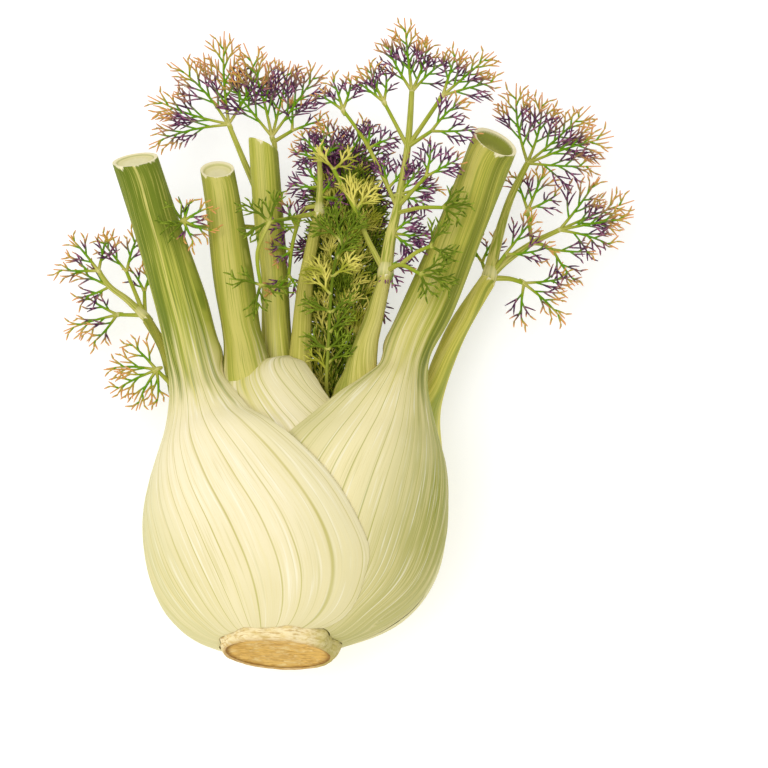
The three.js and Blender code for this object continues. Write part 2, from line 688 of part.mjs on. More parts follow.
function place(name, solid, colour) {
  const { numProp, vertProperties, triVerts } = solid.getMesh();
  const geometry = new THREE.BufferGeometry();
  const positions = new Float32Array((vertProperties.length / numProp) * 3);
  for (let i = 0; i < positions.length / 3; i += 1) {
    positions.set(vertProperties.subarray(i * numProp, i * numProp + 3), i * 3);
  }
  geometry.setAttribute('position', new THREE.BufferAttribute(positions, 3));
  geometry.setIndex(new THREE.BufferAttribute(new Uint32Array(triVerts), 1));
  geometry.computeVertexNormals();
  const mesh = new THREE.Mesh(geometry, material(colour));
  mesh.name = name;
  group.add(mesh);
}

/** Cuts a solid back from every piece placed before it, then keeps its largest body. */
function clearOf(body) {
  const cut = (rest, tool) => (boxesMeet(rest, tool) ? rest.subtract(tool) : rest);
  return largest(placed.reduce(cut, body));
}

const surface = new THREE.BoxGeometry(400, 400, REST_TRIM);
surface.translate(0, 0, -REST_TRIM / 2);
const belowSurface = solidOf(surface);

const GROWN_IN_ORDER = [
  ['stem_base', stemBase, 'root'],
  ['leaf_heart', heartLeaf, 'sheath'],
  ['leaf_centre', centreLeaf, 'stalk'],
  ['leaf_left_third', leftThirdLeaf, 'stalk'],
  ['leaf_slender', slenderLeaf, 'stalk'],
  ['leaf_right_second', rightSecondLeaf, 'stalk'],
  ['leaf_left_second', leftSecondLeaf, 'sheath'],
  ['leaf_right_outer', rightOuterLeaf, 'sheath'],
  ['leaf_left_outer', leftOuterLeaf, 'sheath'],
  ['leaf_right_back', rightBackLeaf, 'stalk'],
  ['leaf_left_back', leftBackLeaf, 'stalk'],
];

for (const [name, make, colour] of GROWN_IN_ORDER) {
  const { body, tool } = make();
  place(name, clearOf(body.subtract(belowSurface)), colour);
  placed.push(tool);
}

for (const [name, frond] of Object.entries(FRONDS)) {
  place(name, clearOf(join(frondSolids(frond, 0))), name === 'frond_heart' ? 'heart' : 'frond');
  placed.push(join(frondSolids(frond, CLEARANCE)));
}

export default group;
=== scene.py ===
"""A trimmed fennel bulb with its stalks and fronds, lying on the flattened back of the bulb.

Table, light and camera are in metres. The pieces are worked out in millimetres and made in metres.
"""

import math

import bmesh
import bpy
import numpy as np
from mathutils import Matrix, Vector


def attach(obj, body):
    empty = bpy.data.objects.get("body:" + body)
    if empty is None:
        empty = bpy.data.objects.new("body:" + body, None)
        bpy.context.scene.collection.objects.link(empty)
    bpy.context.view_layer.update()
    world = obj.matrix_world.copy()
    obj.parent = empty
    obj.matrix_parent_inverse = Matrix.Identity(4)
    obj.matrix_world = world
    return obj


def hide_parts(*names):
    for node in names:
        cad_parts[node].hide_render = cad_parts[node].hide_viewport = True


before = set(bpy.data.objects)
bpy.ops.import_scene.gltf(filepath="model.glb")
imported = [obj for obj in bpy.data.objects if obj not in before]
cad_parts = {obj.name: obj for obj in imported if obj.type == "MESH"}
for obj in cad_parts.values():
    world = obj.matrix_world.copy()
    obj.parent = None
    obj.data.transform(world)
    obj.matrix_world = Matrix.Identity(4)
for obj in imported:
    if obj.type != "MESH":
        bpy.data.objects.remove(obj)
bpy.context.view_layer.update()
MM = 0.001

# ---------------- table, light and camera
# The bulb lies on a plain white table under a large soft lamp, with light from all around it.
# The camera looks down on it from a little beyond the root end.

CAMERA_ELEVATION = math.radians(68)
CAMERA_DISTANCE = 1.1
CAMERA_AIM = Vector((0.028, 0.0381, 0.036))
CAMERA_LENS = 154.69
TABLE_HALF = 3.0
TABLE_GLOW = 0.52
ROOM_LIGHT = 0.74
LAMP_PLACE = Vector((-0.42, -0.38, 1.36))
LAMP_AIM = Vector((0.02, 0.04, 0.03))
LAMP_SIZE = 0.9
LAMP_POWER = 8.4
WHITE = (1, 1, 1, 1)
GLOSS = 0.1


def put(name, data):
    """A new object at the origin that holds the data."""
    made = bpy.data.objects.new(name, data)
    bpy.context.scene.collection.objects.link(made)
    return made


camera = put("camera", bpy.data.cameras.new("camera"))
camera.data.lens = CAMERA_LENS
camera.rotation_euler = (math.pi / 2 - CAMERA_ELEVATION, 0, 0)
camera_back = Vector((0, -math.cos(CAMERA_ELEVATION), math.sin(CAMERA_ELEVATION)))
camera.location = CAMERA_AIM + camera_back * CAMERA_DISTANCE
bpy.context.scene.camera = camera
bpy.context.scene.view_settings.view_transform = "Standard"


def paint(code):
    """Linear colour from a hex code."""
    parts = [int(code[i:i + 2], 16) / 255 for i in (1, 3, 5)]
    linear = [c / 12.92 if c < 0.04045 else ((c + 0.055) / 1.055) ** 2.4 for c in parts]
    return (*linear, 1.0)


class Wire:
    """A socket of a node tree that can be added, multiplied and so on."""

    def __init__(self, nodes, socket):
        self.nodes = nodes
        self.socket = socket

    def maths(self, operation, *values):
        return self.nodes.node("ShaderNodeMath", {"operation": operation}, dict(enumerate(values)))

    def __add__(self, other):
        return self.maths("ADD", self, other)

    def __sub__(self, other):
        return self.maths("SUBTRACT", self, other)

    def __rsub__(self, other):
        return self.maths("SUBTRACT", other, self)

    def __mul__(self, other):
        return self.maths("MULTIPLY", self, other)

    __radd__ = __add__
    __rmul__ = __mul__

    def wave(self):
        return self.maths("SINE", self)

    def whole(self):
        return self.maths("ROUND", self)

    def size(self):
        return self.maths("ABSOLUTE", self)

    def rise(self, low, high):
        """0 below low, 1 above high and smooth between them; high may be the lower one."""
        ends = (0, 1) if low < high else (1, 0)
        span = {0: self, 1: min(low, high), 2: max(low, high), 3: ends[0], 4: ends[1]}
        return self.nodes.node("ShaderNodeMapRange", {"interpolation_type": "SMOOTHSTEP"}, span)


class Nodes:
    """A node tree that is built by expressions."""

    def __init__(self, tree):
        self.tree = tree

    def node(self, kind, settings, sockets, out=0):
        """One output of a new node, from its settings and what goes into its sockets."""
        made = self.tree.nodes.new(kind)
        for key, value in settings.items():
            setattr(made, key, value)
        for key, value in sockets.items():
            self.join(value, made.inputs[key])
        return Wire(self, made.outputs[out])

    def join(self, value, socket):
        """Feeds a wire, a number, a hex code or any other value to a socket."""
        if isinstance(value, Wire):
            self.tree.links.new(value.socket, socket)
        elif str(value).startswith("#"):
            socket.default_value = paint(value)
        else:
            socket.default_value = value


class Skin(Nodes):
    """A material's nodes."""

    def __init__(self, name):
        self.material = bpy.data.materials.new(name)
        self.material.use_nodes = True
        super().__init__(self.material.node_tree)

    def over(self, colour, *coats):
        """The colour under coats of others, each with its share."""
        for coat, share in coats:
            sockets = {0: share, 6: colour, 7: coat}
            colour = self.node("ShaderNodeMix", {"data_type": "RGBA"}, sockets, out=2)
        return colour

    def noise(self, vector, scale, detail):
        sockets = {"Vector": vector, "Scale": scale, "Detail": detail}
        return self.node("ShaderNodeTexNoise", {}, sockets)

    def place(self):
        return self.node("ShaderNodeTexCoord", {}, {}, out=3)

    def growth(self):
        return self.split(self.node("ShaderNodeUVMap", {"uv_map": "growth"}, {}))

    def vector(self, x, y, z=0.0):
        return self.node("ShaderNodeCombineXYZ", {}, {0: x, 1: y, 2: z})

    def split(self, vector):
        return [self.node("ShaderNodeSeparateXYZ", {}, {0: vector}, out=i) for i in range(3)]

    def bump(self, height, distance):
        sockets = {"Height": height, "Strength": 1.0, "Distance": distance}
        return self.node("ShaderNodeBump", {}, sockets)

    def finish(self, sockets):
        shader = self.tree.nodes["Principled BSDF"]
        for key, value in {"Specular IOR Level": GLOSS, **sockets}.items():
            self.join(value, shader.inputs[key])
        return self.material


def add(name, mesh, material):
    """An object at the origin whose place is in its mesh."""
    mesh.materials.clear()
    mesh.materials.append(material)
    return put(name, mesh)


corners = [(x * TABLE_HALF, y * TABLE_HALF, 0) for x, y in ((-1, -1), (1, -1), (1, 1), (-1, 1))]
table_mesh = bpy.data.meshes.new("table")
table_mesh.from_pydata(corners, [], [(0, 1, 2, 3)])
table = add("table", table_mesh, Skin("table_white").finish({
    "Base Color": "#d2d2d0", "Roughness": 0.9,
    "Emission Color": WHITE, "Emission Strength": TABLE_GLOW}))

world = bpy.data.worlds.new("room")
world.use_nodes = True
room = world.node_tree.nodes["Background"]
room.inputs["Color"].default_value = WHITE
room.inputs["Strength"].default_value = ROOM_LIGHT
bpy.context.scene.world = world

lamp = put("soft_lamp", bpy.data.lights.new("soft_lamp", "AREA"))
lamp.data.shape = "DISK"
lamp.data.size = LAMP_SIZE
lamp.data.energy = LAMP_POWER
lamp.location = LAMP_PLACE
lamp.rotation_euler = (LAMP_AIM - LAMP_PLACE).to_track_quat("-Z", "Y").to_euler()

# ---------------- the stem at the root end
# A fennel bulb grows from a short conical stem. The knife leaves a brown, dried, fibrous face,
# round which the trimmed feet of the leaf bases form a knobbly cream collar.

MIDDLE = 36
STEM_X = -6.2
STEM_TILT = -0.06
STEM_WIDEST = -52
STEM_SIDES = 216
STEM_STEPS = 7
COLLAR_RINGS = [  # y, half width, half depth and how knobbly
    (-55.8, 16.9, 15, 0),
    (-56.28, 17.6, 15.7, 0.008),
    (-55, 18.6, 16.7, 0.02),
    (-52.6, 19.5, 17.8, 0.03),
    (-50.6, 19.8, 18.2, 0.028),
    (-49.6, 18.8, 17.2, 0.012),
]
CONE_RINGS = [(-49.3, 14, 12, 0), (-26, 2.5, 2.5, 0)]
COLLAR_GAP = 0.12
FOLD_DEPTH = 0.25
BACK_EDGE, BACK_EDGE_HALF, BACK_EDGE_WOBBLE = -50, 1.2, 0.35
FACE_SHARES = np.array([0.0, 0.12, 0.3, 0.5, 0.68, 0.82, 0.9, 0.96])
FACE_DISH = 0.9 * np.array([1, 0.98, 0.92, 0.85, 0.7, 0.55, 0.35, 0.1])
FIBRE_DEPTH = 0.12
STEM_BUMP = 0.0006


def smooth(rows, steps):
    """Rows of numbers on a smooth path through the given rows."""
    rows = np.array(rows, float)
    padded = np.vstack([rows[:1], rows, rows[-1:]])
    path = []
    for i in range(len(rows) - 1):
        before, here, there, after = padded[i:i + 4]
        for t in np.arange(steps) / steps:
            bend = 2 * before - 5 * here + 4 * there - after
            twist = 3 * here - before - 3 * there + after
            path.append(here + 0.5 * t * (there - before + t * (bend + t * twist)))
    return np.array(path + [rows[-1]])


def closed_mesh(name, points, places):
    """A closed mesh through rings of points. `places` are the u and v of each point.

    The rings run round and are capped with a hub at both ends, and the seam stays in u.
    """
    rings, sides = points.shape[:2]
    count = rings * sides
    vertices = np.vstack([points.reshape(-1, 3), points[0].mean(0), points[-1].mean(0)])
    places = np.vstack([places.reshape(-1, 2), (0.5, places[0, 0, 1]), (0.5, places[-1, 0, 1])])
    turns = [(i, (i + 1) % sides) for i in range(sides)]
    faces = [(r + i, r + j, r + sides + j, r + sides + i)
             for r in range(0, count - sides, sides) for i, j in turns]
    for i, j in turns:
        faces += [(count, j, i), (count + 1, count - sides + i, count - sides + j)]
    mesh = bpy.data.meshes.new(name)
    mesh.from_pydata((vertices * MM).tolist(), [], faces)
    growth = places[np.concatenate(faces)]
    owner = np.repeat(np.arange(len(faces)), [len(face) for face in faces])
    highest = np.full(len(faces), -1.0)
    np.maximum.at(highest, owner, growth[:, 0])
    growth[highest[owner] - growth[:, 0] > 0.5, 0] += 1.0
    layer = mesh.uv_layers.new(name="growth")
    layer.data.foreach_set("uv", growth.ravel().astype(np.float32))
    build = bmesh.new()
    build.from_mesh(mesh)
    bmesh.ops.remove_doubles(build, verts=build.verts, dist=2e-7)
    bmesh.ops.dissolve_degenerate(build, edges=build.edges, dist=1e-8)
    bmesh.ops.recalc_face_normals(build, faces=build.faces)
    build.to_mesh(mesh)
    build.free()
    return mesh


def stem_points(grow, sides):
    """Points of the stem with their place round it (u) and along it (v); a grown one is plain."""
    rows = np.vstack([smooth(COLLAR_RINGS, STEM_STEPS), CONE_RINGS])
    angle = np.linspace(0, 2 * np.pi, sides, endpoint=False)
    y, width, depth, lobe = (column[:, None] for column in rows.T)
    swell = 1 + lobe * (np.cos(9 * angle) + 0.6 * np.cos(5 * angle + 1))
    folds = lobe / 0.03 * (FOLD_DEPTH + FOLD_DEPTH * np.sin(23 * angle + 2 * np.sin(3 * angle)))
    wobble = BACK_EDGE_WOBBLE * np.sin(7 * angle + 1) * (np.abs(y - BACK_EDGE) < BACK_EDGE_HALF)
    if grow:
        folds = wobble = 0
    across = (width * swell + grow - folds) * np.cos(angle)
    up = (depth * swell + grow - folds) * np.sin(angle)
    along = y + np.sign(y - STEM_WIDEST) * grow + STEM_TILT * across + wobble
    place = np.stack([STEM_X + across, along, MIDDLE + up], -1)
    v = np.arange(1.0, len(rows) + 1)
    if not grow:
        hub = place[0].mean(0)
        inner = hub + FACE_SHARES[:, None, None] * (place[0] - hub)
        fibres = FIBRE_DEPTH * np.sin(4 * inner[..., 2] + np.sin(inner[..., 0]))
        inner[..., 1] += FACE_DISH[:, None] + fibres
        place = np.concatenate([inner, place])
        v = np.concatenate([FACE_SHARES, v])
    return place, np.stack(np.broadcast_arrays(angle / (2 * np.pi), v[:, None]), -1)


def stem_skin():
    """A tan fibrous face with a dark edge, and a cream collar with brown spots and a green side."""
    skin = Skin("root_and_collar")
    place = skin.place()
    x, y, z = skin.split(place)
    u, ring, _ = skin.growth()
    fibres = skin.noise(skin.vector(x * 0.35, y, z), 900, 3)
    blots = skin.noise(place, 260, 2)
    spots = skin.noise(skin.vector(u * 26, ring * 0.7), 1.0, 3)
    face = skin.over(
        "#e2b862", ("#c2974a", fibres.rise(0.35, 0.65)),
        ("#f0d48e", (blots * fibres).rise(0.28, 0.4) * 0.7),
        ("#83591c", ring.rise(0.88, 0.99) * (0.65 + 0.35 * fibres)))
    collar = skin.over(
        "#f8e6b4", ("#e2c988", fibres.rise(0.4, 0.7)),
        ("#c39c55", spots.rise(0.54, 0.66) * 0.7),
        ("#c2903a", ring.rise(16, 6) * (0.35 + 0.5 * fibres)),
        ("#b5ab5e", x.rise(0.002, 0.011) * (0.4 + fibres * 0.7)))
    return skin.finish({
        "Base Color": skin.over(face, (collar, ring.rise(1.05, 1.7))), "Roughness": 0.62,
        "Normal": skin.bump(fibres + spots * 0.5, STEM_BUMP)})


stem_mesh = closed_mesh("root_and_collar", *stem_points(0, STEM_SIDES))
stem_tool = closed_mesh("stem_tool", *stem_points(COLLAR_GAP, STEM_SIDES // 2))
stem = add("root_and_collar", stem_mesh, stem_skin())
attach(stem, "root")
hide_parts("stem_base")

# ---------------- the heart leaf
# Each leaf is one grown thing: a crisp, ribbed sheath that wraps the bulb and narrows without a
# joint into its own stalk. The innermost one is small and pale and carries the densest frond.

SHEATH = 3
CLEARANCE = 0.3
LAYER = SHEATH + CLEARANCE
ENVELOPE = np.array([  # y, left, right and half depth of the bulb
    (-53, -24.4, 13.1, 16.8),
    (-51, -30, 17.6, 20.4),
    (-48.6, -35.8, 24.3, 24),
    (-45, -40.2, 30.4, 27),
    (-41, -43.4, 35.8, 29.8),
    (-34.6, -46.9, 41.6, 33.2),
    (-27, -49.4, 45.5, 34.9),
    (-18, -50.8, 48, 36.3),
    (-8, -51, 49.2, 36.9),
    (3, -49.2, 49.2, 37.1),
    (14, -46.3, 48, 36.6),
    (24, -43.8, 46.9, 31.5),
])
GROOVE_HALF, GROOVE_DEPTH, SWELL_HEIGHT = 0.1, 0.16, 0.1
MARGIN, MARGIN_THINNING = 9, 1.9
FULL_GIRTH, LEAST_RELIEF = 200, 0.4
OPEN_ANGLE = 0.5
LEAF_BUMP = 0.00018
LINES = np.linspace(0, 0.5, 80)
FLOW_REACH = 14
FLOW_WEIGHTS = np.exp(-0.5 * (2.2 * np.arange(-FLOW_REACH, FLOW_REACH + 1) / FLOW_REACH) ** 2)
CUT_SHARES = np.array([0.97, 0.92, 0.86, 0.8, 0.74, 0.6, 0.4, 0.2])
CUT_PROFILE = [0.03, 0.14, 0.2, 0.26, 0.4, 1], [0, 0.1, 0.5, 0.8, 0.95, 1]
PLAIN = {"turn": (0, 0, 1), "span": (0, 1), "hollow": 0.2}
TOOL_STEPS, TOOL_SIDES = 4, 64
SHARP = math.radians(50)
SHOULDER_END, STALK_START = 0.43, 0.44
GROUND = 0.4


def station(keel_x, keel_y, far_x, far_y, depth, middle, *margins):
    """One ring of a leaf: its outer spine, the point opposite, its depth and its margins' x."""
    margins = margins * 2 or (far_x, far_x)
    return keel_x, keel_y, far_x, far_y, depth, middle, *margins[:2], 0.0


def on_bulb(side, layers, *rows):
    """Rings on the bulb, a number of sheaths in at the keel, opposite and in depth.

    A row is the ring's y, or that and its margins.
    """
    outer, inner, deep = (LAYER * count for count in layers)
    rings = []
    for row in rows:
        y, *margins = np.atleast_1d(row)
        left, right, depth = (np.interp(y, ENVELOPE[:, 0], ENVELOPE[:, i]) for i in (1, 2, 3))
        keel, far = (left + outer, right - inner) if side == "left" else (right - outer, left + inner)
        rings.append(station(keel, y, far, y, depth - deep, MIDDLE, *margins))
    return rings


def off_bulb(rows, cut=0.0):
    """Rings beyond the bulb. `cut` is how far the last one slants."""
    rings = [station(*row) for row in rows]
    rings[-1] = (*rings[-1][:-1], cut)
    return rings


def rib_count(u, ribs, wave, whole):
    """The ribs passed at u, the number of the nearest groove, and how strong that one is."""
    phase = ribs * u + 0.4 * wave(17 * u + 1.3) + 0.2 * wave(47 * u)
    nearest = whole(phase)
    return phase, nearest, 0.6 + 0.28 * wave(12.9 * nearest)


def straighten(flow, u, x):
    """The flow with lines that run smoothly from the sheath into the stalk on the leaf's front."""
    front = u <= 0.5
    paths = np.array([np.interp(LINES, f[front], place[front]) for f, place in zip(flow, x)])
    padded = np.pad(paths, ((FLOW_REACH, FLOW_REACH), (0, 0)), mode="reflect", reflect_type="odd")
    weights = FLOW_WEIGHTS / FLOW_WEIGHTS.sum()
    eased = sum(weight * padded[i:i + len(paths)] for i, weight in enumerate(weights))
    sign = np.sign(paths[0, -1] - paths[0, 0])
    fitted = np.array([np.interp(sign * place, np.maximum.accumulate(sign * path), LINES)
                       for place, path in zip(x, eased)])
    share = np.clip(u / 0.1, 0, 1) * np.clip((0.5 - u) / 0.08, 0, 1)
    return flow + share * (3 - 2 * share) * share * (fitted - flow)


def leaf_points(stations, grow, steps, sides, detail=None):
    """Points of a leaf's outer surface with their place across (u) and along it (v).

    A leaf without detail is a plain one that has grown by its clearance.
    """
    rows = np.array(stations, float)
    outwards = np.sign(rows[:, 2:3] - rows[:, 0:1])
    centres = (rows[:, 0:1] + rows[:, 2:3]) / 2
    halves = np.abs(rows[:, 2:3] - rows[:, 0:1]) / 2 + grow
    edges = np.arccos(np.clip(((rows[:, 6:8] - centres) * outwards + grow) / halves, -1, 1))
    columns = (column[:, None] for column in smooth(np.hstack([rows, edges]), steps).T)
    keel_x, keel_y, far_x, far_y, depth, middle, _, _, slope, start, end = columns
    start, end = np.maximum(start, 0), 2 * np.pi - np.maximum(end, 0)
    u = np.linspace(0, 1, sides)[None]
    outwards = outwards[0]
    centre, centre_y = (keel_x + far_x) / 2, (keel_y + far_y) / 2
    half = np.abs(far_x - keel_x) / 2
    lean = (far_y - keel_y) / (far_x - keel_x)
    angle = start + (end - start) * u
    cos, sin = np.cos(angle), np.sin(angle)
    normal = np.stack([depth * cos, half * sin], -1)
    normal /= np.linalg.norm(normal, axis=-1, keepdims=True)
    mid = np.stack([centre, centre_y, middle], -1)[:, 0]
    length = np.concatenate([[0], np.cumsum(np.linalg.norm(np.diff(mid, axis=0), axis=1))])
    low_v, high_v = (detail or PLAIN)["span"]
    v = low_v + (high_v - low_v) * length[:, None] / length[-1]
    turn, low, high = (detail or PLAIN)["turn"]
    neck = np.clip((mid[:, 1:2] - low) / (high - low), 0, 1)
    flow = u - turn * neck * neck * (3 - 2 * neck)
    relief = np.zeros_like(angle)
    if detail:
        flow = straighten(flow, u[0], centre + outwards * half * cos)
        phase, nearest, strength = rib_count(flow, detail["ribs"], np.sin, np.round)
        groove = np.clip(1 - np.abs(phase - nearest) / GROOVE_HALF, 0, 1) ** 2 * strength
        swell = 0.5 + 0.5 * np.cos(2 * np.pi * phase)
        girth = np.pi * (half + depth) * (end - start) / (2 * np.pi)
        scale = np.clip(girth / FULL_GIRTH, LEAST_RELIEF, 1.0)
        relief = scale * (GROOVE_DEPTH * groove + SWELL_HEIGHT * swell)
        open_share = np.clip(np.minimum(start, np.pi) / OPEN_ANGLE, 0, 1)
        thin = np.clip(1 - np.minimum(u, 1 - u) * girth / MARGIN, 0, 1) ** 2
        relief = relief + MARGIN_THINNING * thin * open_share
    across = outwards * ((half + grow) * cos - relief * normal[..., 0])
    up = (depth + grow) * sin - relief * normal[..., 1]
    axis_lean = np.gradient(mid[:, 0]) / np.gradient(mid[:, 1])
    shear = slope * up * axis_lean[:, None]
    along = centre_y + lean * across + slope * up
    place = np.stack([centre + across + shear, along, middle + up], -1)
    growth = np.stack([flow, np.repeat(v, sides, 1)], -1)
    if not detail:
        place[0, :, 1] -= grow
        place[-1, :, 1] += grow
    if not detail or high_v < 1:
        return place, growth
    hub = place[-1].mean(0)
    axis = (mid[-1] - mid[-3]) / np.linalg.norm(mid[-1] - mid[-3])
    sink = detail["hollow"] * np.interp(1 - CUT_SHARES, *CUT_PROFILE)
    cut = hub + CUT_SHARES[:, None, None] * (place[-1] - hub) - sink[:, None, None] * axis
    cut_growth = np.stack(np.broadcast_arrays(flow[-1:], 2 - CUT_SHARES[:, None]), -1)
    return np.concatenate([place, cut]), np.concatenate([growth, cut_growth])


def boxes_meet(first, second):
    a, b = (np.array([v.co for v in mesh.vertices]) for mesh in (first, second))
    return bool(np.all(a.min(0) < b.max(0)) and np.all(b.min(0) < a.max(0)))


def largest(mesh):
    """Drops all but the largest body of a mesh."""
    build = bmesh.new()
    build.from_mesh(mesh)
    waiting, bodies = set(build.verts), []
    while waiting:
        body, reached = [], [waiting.pop()]
        while reached:
            vertex = reached.pop()
            body.append(vertex)
            new = {edge.other_vert(vertex) for edge in vertex.link_edges} & waiting
            waiting -= new
            reached.extend(new)
        bodies.append(body)
    bodies.sort(key=len)
    bmesh.ops.delete(build, geom=sum(bodies[:-1], []), context="VERTS")
    build.to_mesh(mesh)
    build.free()


def applied(body):
    """The plain mesh of an object with its modifiers applied. The object itself goes."""
    graph = bpy.context.evaluated_depsgraph_get()
    result = bpy.data.meshes.new_from_object(body.evaluated_get(graph), depsgraph=graph)
    bpy.data.objects.remove(body)
    return result


def combine(name, mesh, others, operation="DIFFERENCE"):
    """The mesh with each of the others taken away or joined on, its largest body only."""
    body = put(name, mesh)
    holders = [put("other", other) for other in others]
    for holder in holders:
        step = body.modifiers.new("step", "BOOLEAN")
        step.operation = operation
        step.solver = "MANIFOLD"
        step.object = holder
    result = applied(body)
    for holder in holders:
        bpy.data.objects.remove(holder)
    largest(result)
    return result


build = bmesh.new()
bmesh.ops.create_cube(build, size=GROUND)
bmesh.ops.translate(build, vec=(0, 0, -GROUND / 2), verts=build.verts)
below_table = bpy.data.meshes.new("below_table")
build.to_mesh(below_table)
build.free()
tools = [stem_tool]


def grow_leaf(name, node, slot, stations, skin, ribs, sides=200, steps=8, stalk=None, **changes):
    """Makes a leaf inside the ones grown before it, and the tool that keeps later ones clear.

    `stalk` holds the rings of a stalk that stands proud of the rounded shoulder of its sheath.
    """
    detail = {**PLAIN, "ribs": ribs, **changes}

    def tool_of(rings, tool_sides):
        return closed_mesh(f"{name}_tool", *leaf_points(rings, CLEARANCE, TOOL_STEPS, tool_sides))

    def part_of(rings, part_sides, **span):
        return closed_mesh(name, *leaf_points(rings, 0, steps, part_sides, {**detail, **span}))

    tool = tool_of(stations, TOOL_SIDES)
    if stalk:
        sheath = part_of(stations, sides, span=(0, SHOULDER_END))
        whole = combine(name, sheath, [part_of(stalk, sides // 2, span=(STALK_START, 1))], "UNION")
        tool = combine(f"{name}_tool", tool, [tool_of(stalk, TOOL_SIDES * 3 // 4)], "UNION")
    else:
        whole = part_of(stations, sides)
    near = [other for other in [*tools, below_table] if boxes_meet(whole, other)]
    mesh = combine(name, whole, near)
    mesh.shade_smooth()
    mesh.set_sharp_from_angle(angle=SHARP)
    tools.append(tool)
    shows = name.replace("leaf", "stalk") if slot == "stalk" else name
    leaf = add(name, mesh, leaf_skin(shows, ribs, **skin))
    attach(leaf, "root")
    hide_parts(node)


def leaf_skin(name, ribs, sheath, groove, stalk, dark, neck=0.5, bands=(), side="#d6d096",
              reach=(0.25, 0.03), cut="#e6dd9f", core="#f0e7b4", top=0.0):
    """Ribbed leaf: cream sheath, olive grooves, a streaked green stalk and its pale cut end.

    `neck` is how far along the leaf the sheath turns into the stalk; `bands` are long stripes of
    the stalk as (u, half width, colour, strength, how much further down it runs), partly its own
    green stripes and partly painted light: the pale ones are painted highlights and the dark ones
    painted shade. `side` is painted shade where the sheath turns away at the keel and, more weakly,
    along its front margin; `reach` is how far `side` spreads from the keel, and `top` is how dark
    the stalk is near its end.
    """
    skin = Skin(name)
    u, v, _ = skin.growth()
    phase, nearest, strength = rib_count(u, ribs, Wire.wave, Wire.whole)
    fold = phase - nearest

    def grain(across, along, detail, offset=0.0):
        return skin.noise(skin.vector(u * across, v * along, offset), 1.0, detail)

    streaks, fibres, threads = grain(150, 6, 3), grain(420, 14, 2), grain(260, 5, 1, 9.0)
    wash, tongues = grain(12, 5, 2, 3.0), grain(44, 3, 1, 7.0)
    washed_v = v + (wash - 0.5) * 0.2
    line = (fold.size() + (streaks - 0.5) * 0.05).rise(0.056, 0.01) * strength * (0.5 + wash)
    # Painted shade on one side of each rib, as if light fell across the folds.
    fold_shade = fold.rise(0.42, 0.02) * fold.rise(-0.04, 0.02) * (1.2 - strength)
    # Painted shade in the side colour where the sheath turns away at the keel, and more weakly along
    # its front margin.
    edge_shade = (u - 0.5).size().rise(*reach) + u.rise(0.16, 0.02) * 0.4
    # Masks of the stalk's bands: partly its own green stripes, partly painted highlights (the pale
    # bands) and painted shade (the dark bands).
    stripe_and_light_masks = [(u - place + (streaks - 0.5) * 0.04).size().rise(half, half * 0.3)
               for place, half, *_ in bands]
    lengthwise = v + (streaks - 0.5) * 0.16 + (wash - 0.5) * 0.16 + (tongues - 0.5) * 0.4 + line * 0.07
    for stripe, (*_, fall) in zip(stripe_and_light_masks, bands):
        lengthwise = lengthwise + stripe * fall
    haze = washed_v.rise(neck - 0.34, neck)
    # Painted shade: the sheath darker towards the root end, where its grooves also turn greener.
    foot = v.rise(0.24, 0.02)
    groove_colour = skin.over(groove, ("#a3a63e", haze * 0.7 + foot * 0.4))
    sheath_colour = skin.over(
        sheath, (side, edge_shade * (0.5 + wash)), ("#dcd082", haze * 0.6), ("#d8cc8e", foot * 0.9 * wash),
        ("#e2d397", fibres.rise(0.54, 0.68) * 0.35), ("#ecdca4", fold_shade * 0.4),
        ("#ebdea6", streaks.rise(0.52, 0.68) * 0.4), ("#fff9e2", streaks.rise(0.44, 0.32) * 0.45),
        (groove_colour, threads.rise(0.58, 0.7) * 0.25), (groove_colour, line * 0.8))
    # The stalk: its own streaks and green tongues, with the bands' painted highlights and painted shade
    # over them.
    stalk_colour = skin.over(
        stalk, (dark, tongues.rise(0.4, 0.6) * 0.55), (dark, washed_v.rise(0.72, 0.94) * top),
        *((colour, stripe * share * (0.5 + 0.7 * tongues))
          for stripe, (_, _, colour, share, _) in zip(stripe_and_light_masks, bands)),
        ("#d0c764", streaks.rise(0.54, 0.64) * 0.5), (dark, streaks.rise(0.48, 0.38) * 0.7))
    hollow = skin.over(
        cut, (core, (v + (tongues - 0.5) * 0.3).rise(1.3, 1.6) * (0.4 + fibres)),
        (dark, (v - 1.2).size().rise(0.045, 0.01) * 0.35))
    face = skin.over("#f6ecc0", (hollow, (v + (fibres - 0.5) * 0.08).rise(1.12, 1.17)))
    rim = v + (tongues - 0.5) * 0.02 + (wash - 0.5) * 0.06
    return skin.finish({
        "Base Color": skin.over(sheath_colour, (stalk_colour, lengthwise.rise(neck - 0.12, neck + 0.1)),
                                (face, rim.rise(0.997, 1.005))),
        "Roughness": 0.45 + 0.14 * fibres,
        "Normal": skin.bump(streaks * 0.6 + fibres * 0.5, LEAF_BUMP)})


grow_leaf("heart_leaf", "leaf_heart", "leaf_base", on_bulb(
    "left", (6, 6, 6), -44, -28, -8, 6,
) + off_bulb([
    (-4, 18, 19, 18, 7.5, 34),
    (6, 28, 16, 28, 4, 33),
]), dict(neck=0.75, sheath="#f3ecc4", groove="#d8cd82", stalk="#c4bf68", dark="#8f9633"),
    ribs=16, sides=72, steps=5, hollow=1.2)

# ---------------- the centre leaf
# A pale, narrow stalk comes out of the middle of the bulb and ends in the frond behind the front
# ones. Its sheath lies hidden round the heart leaf.

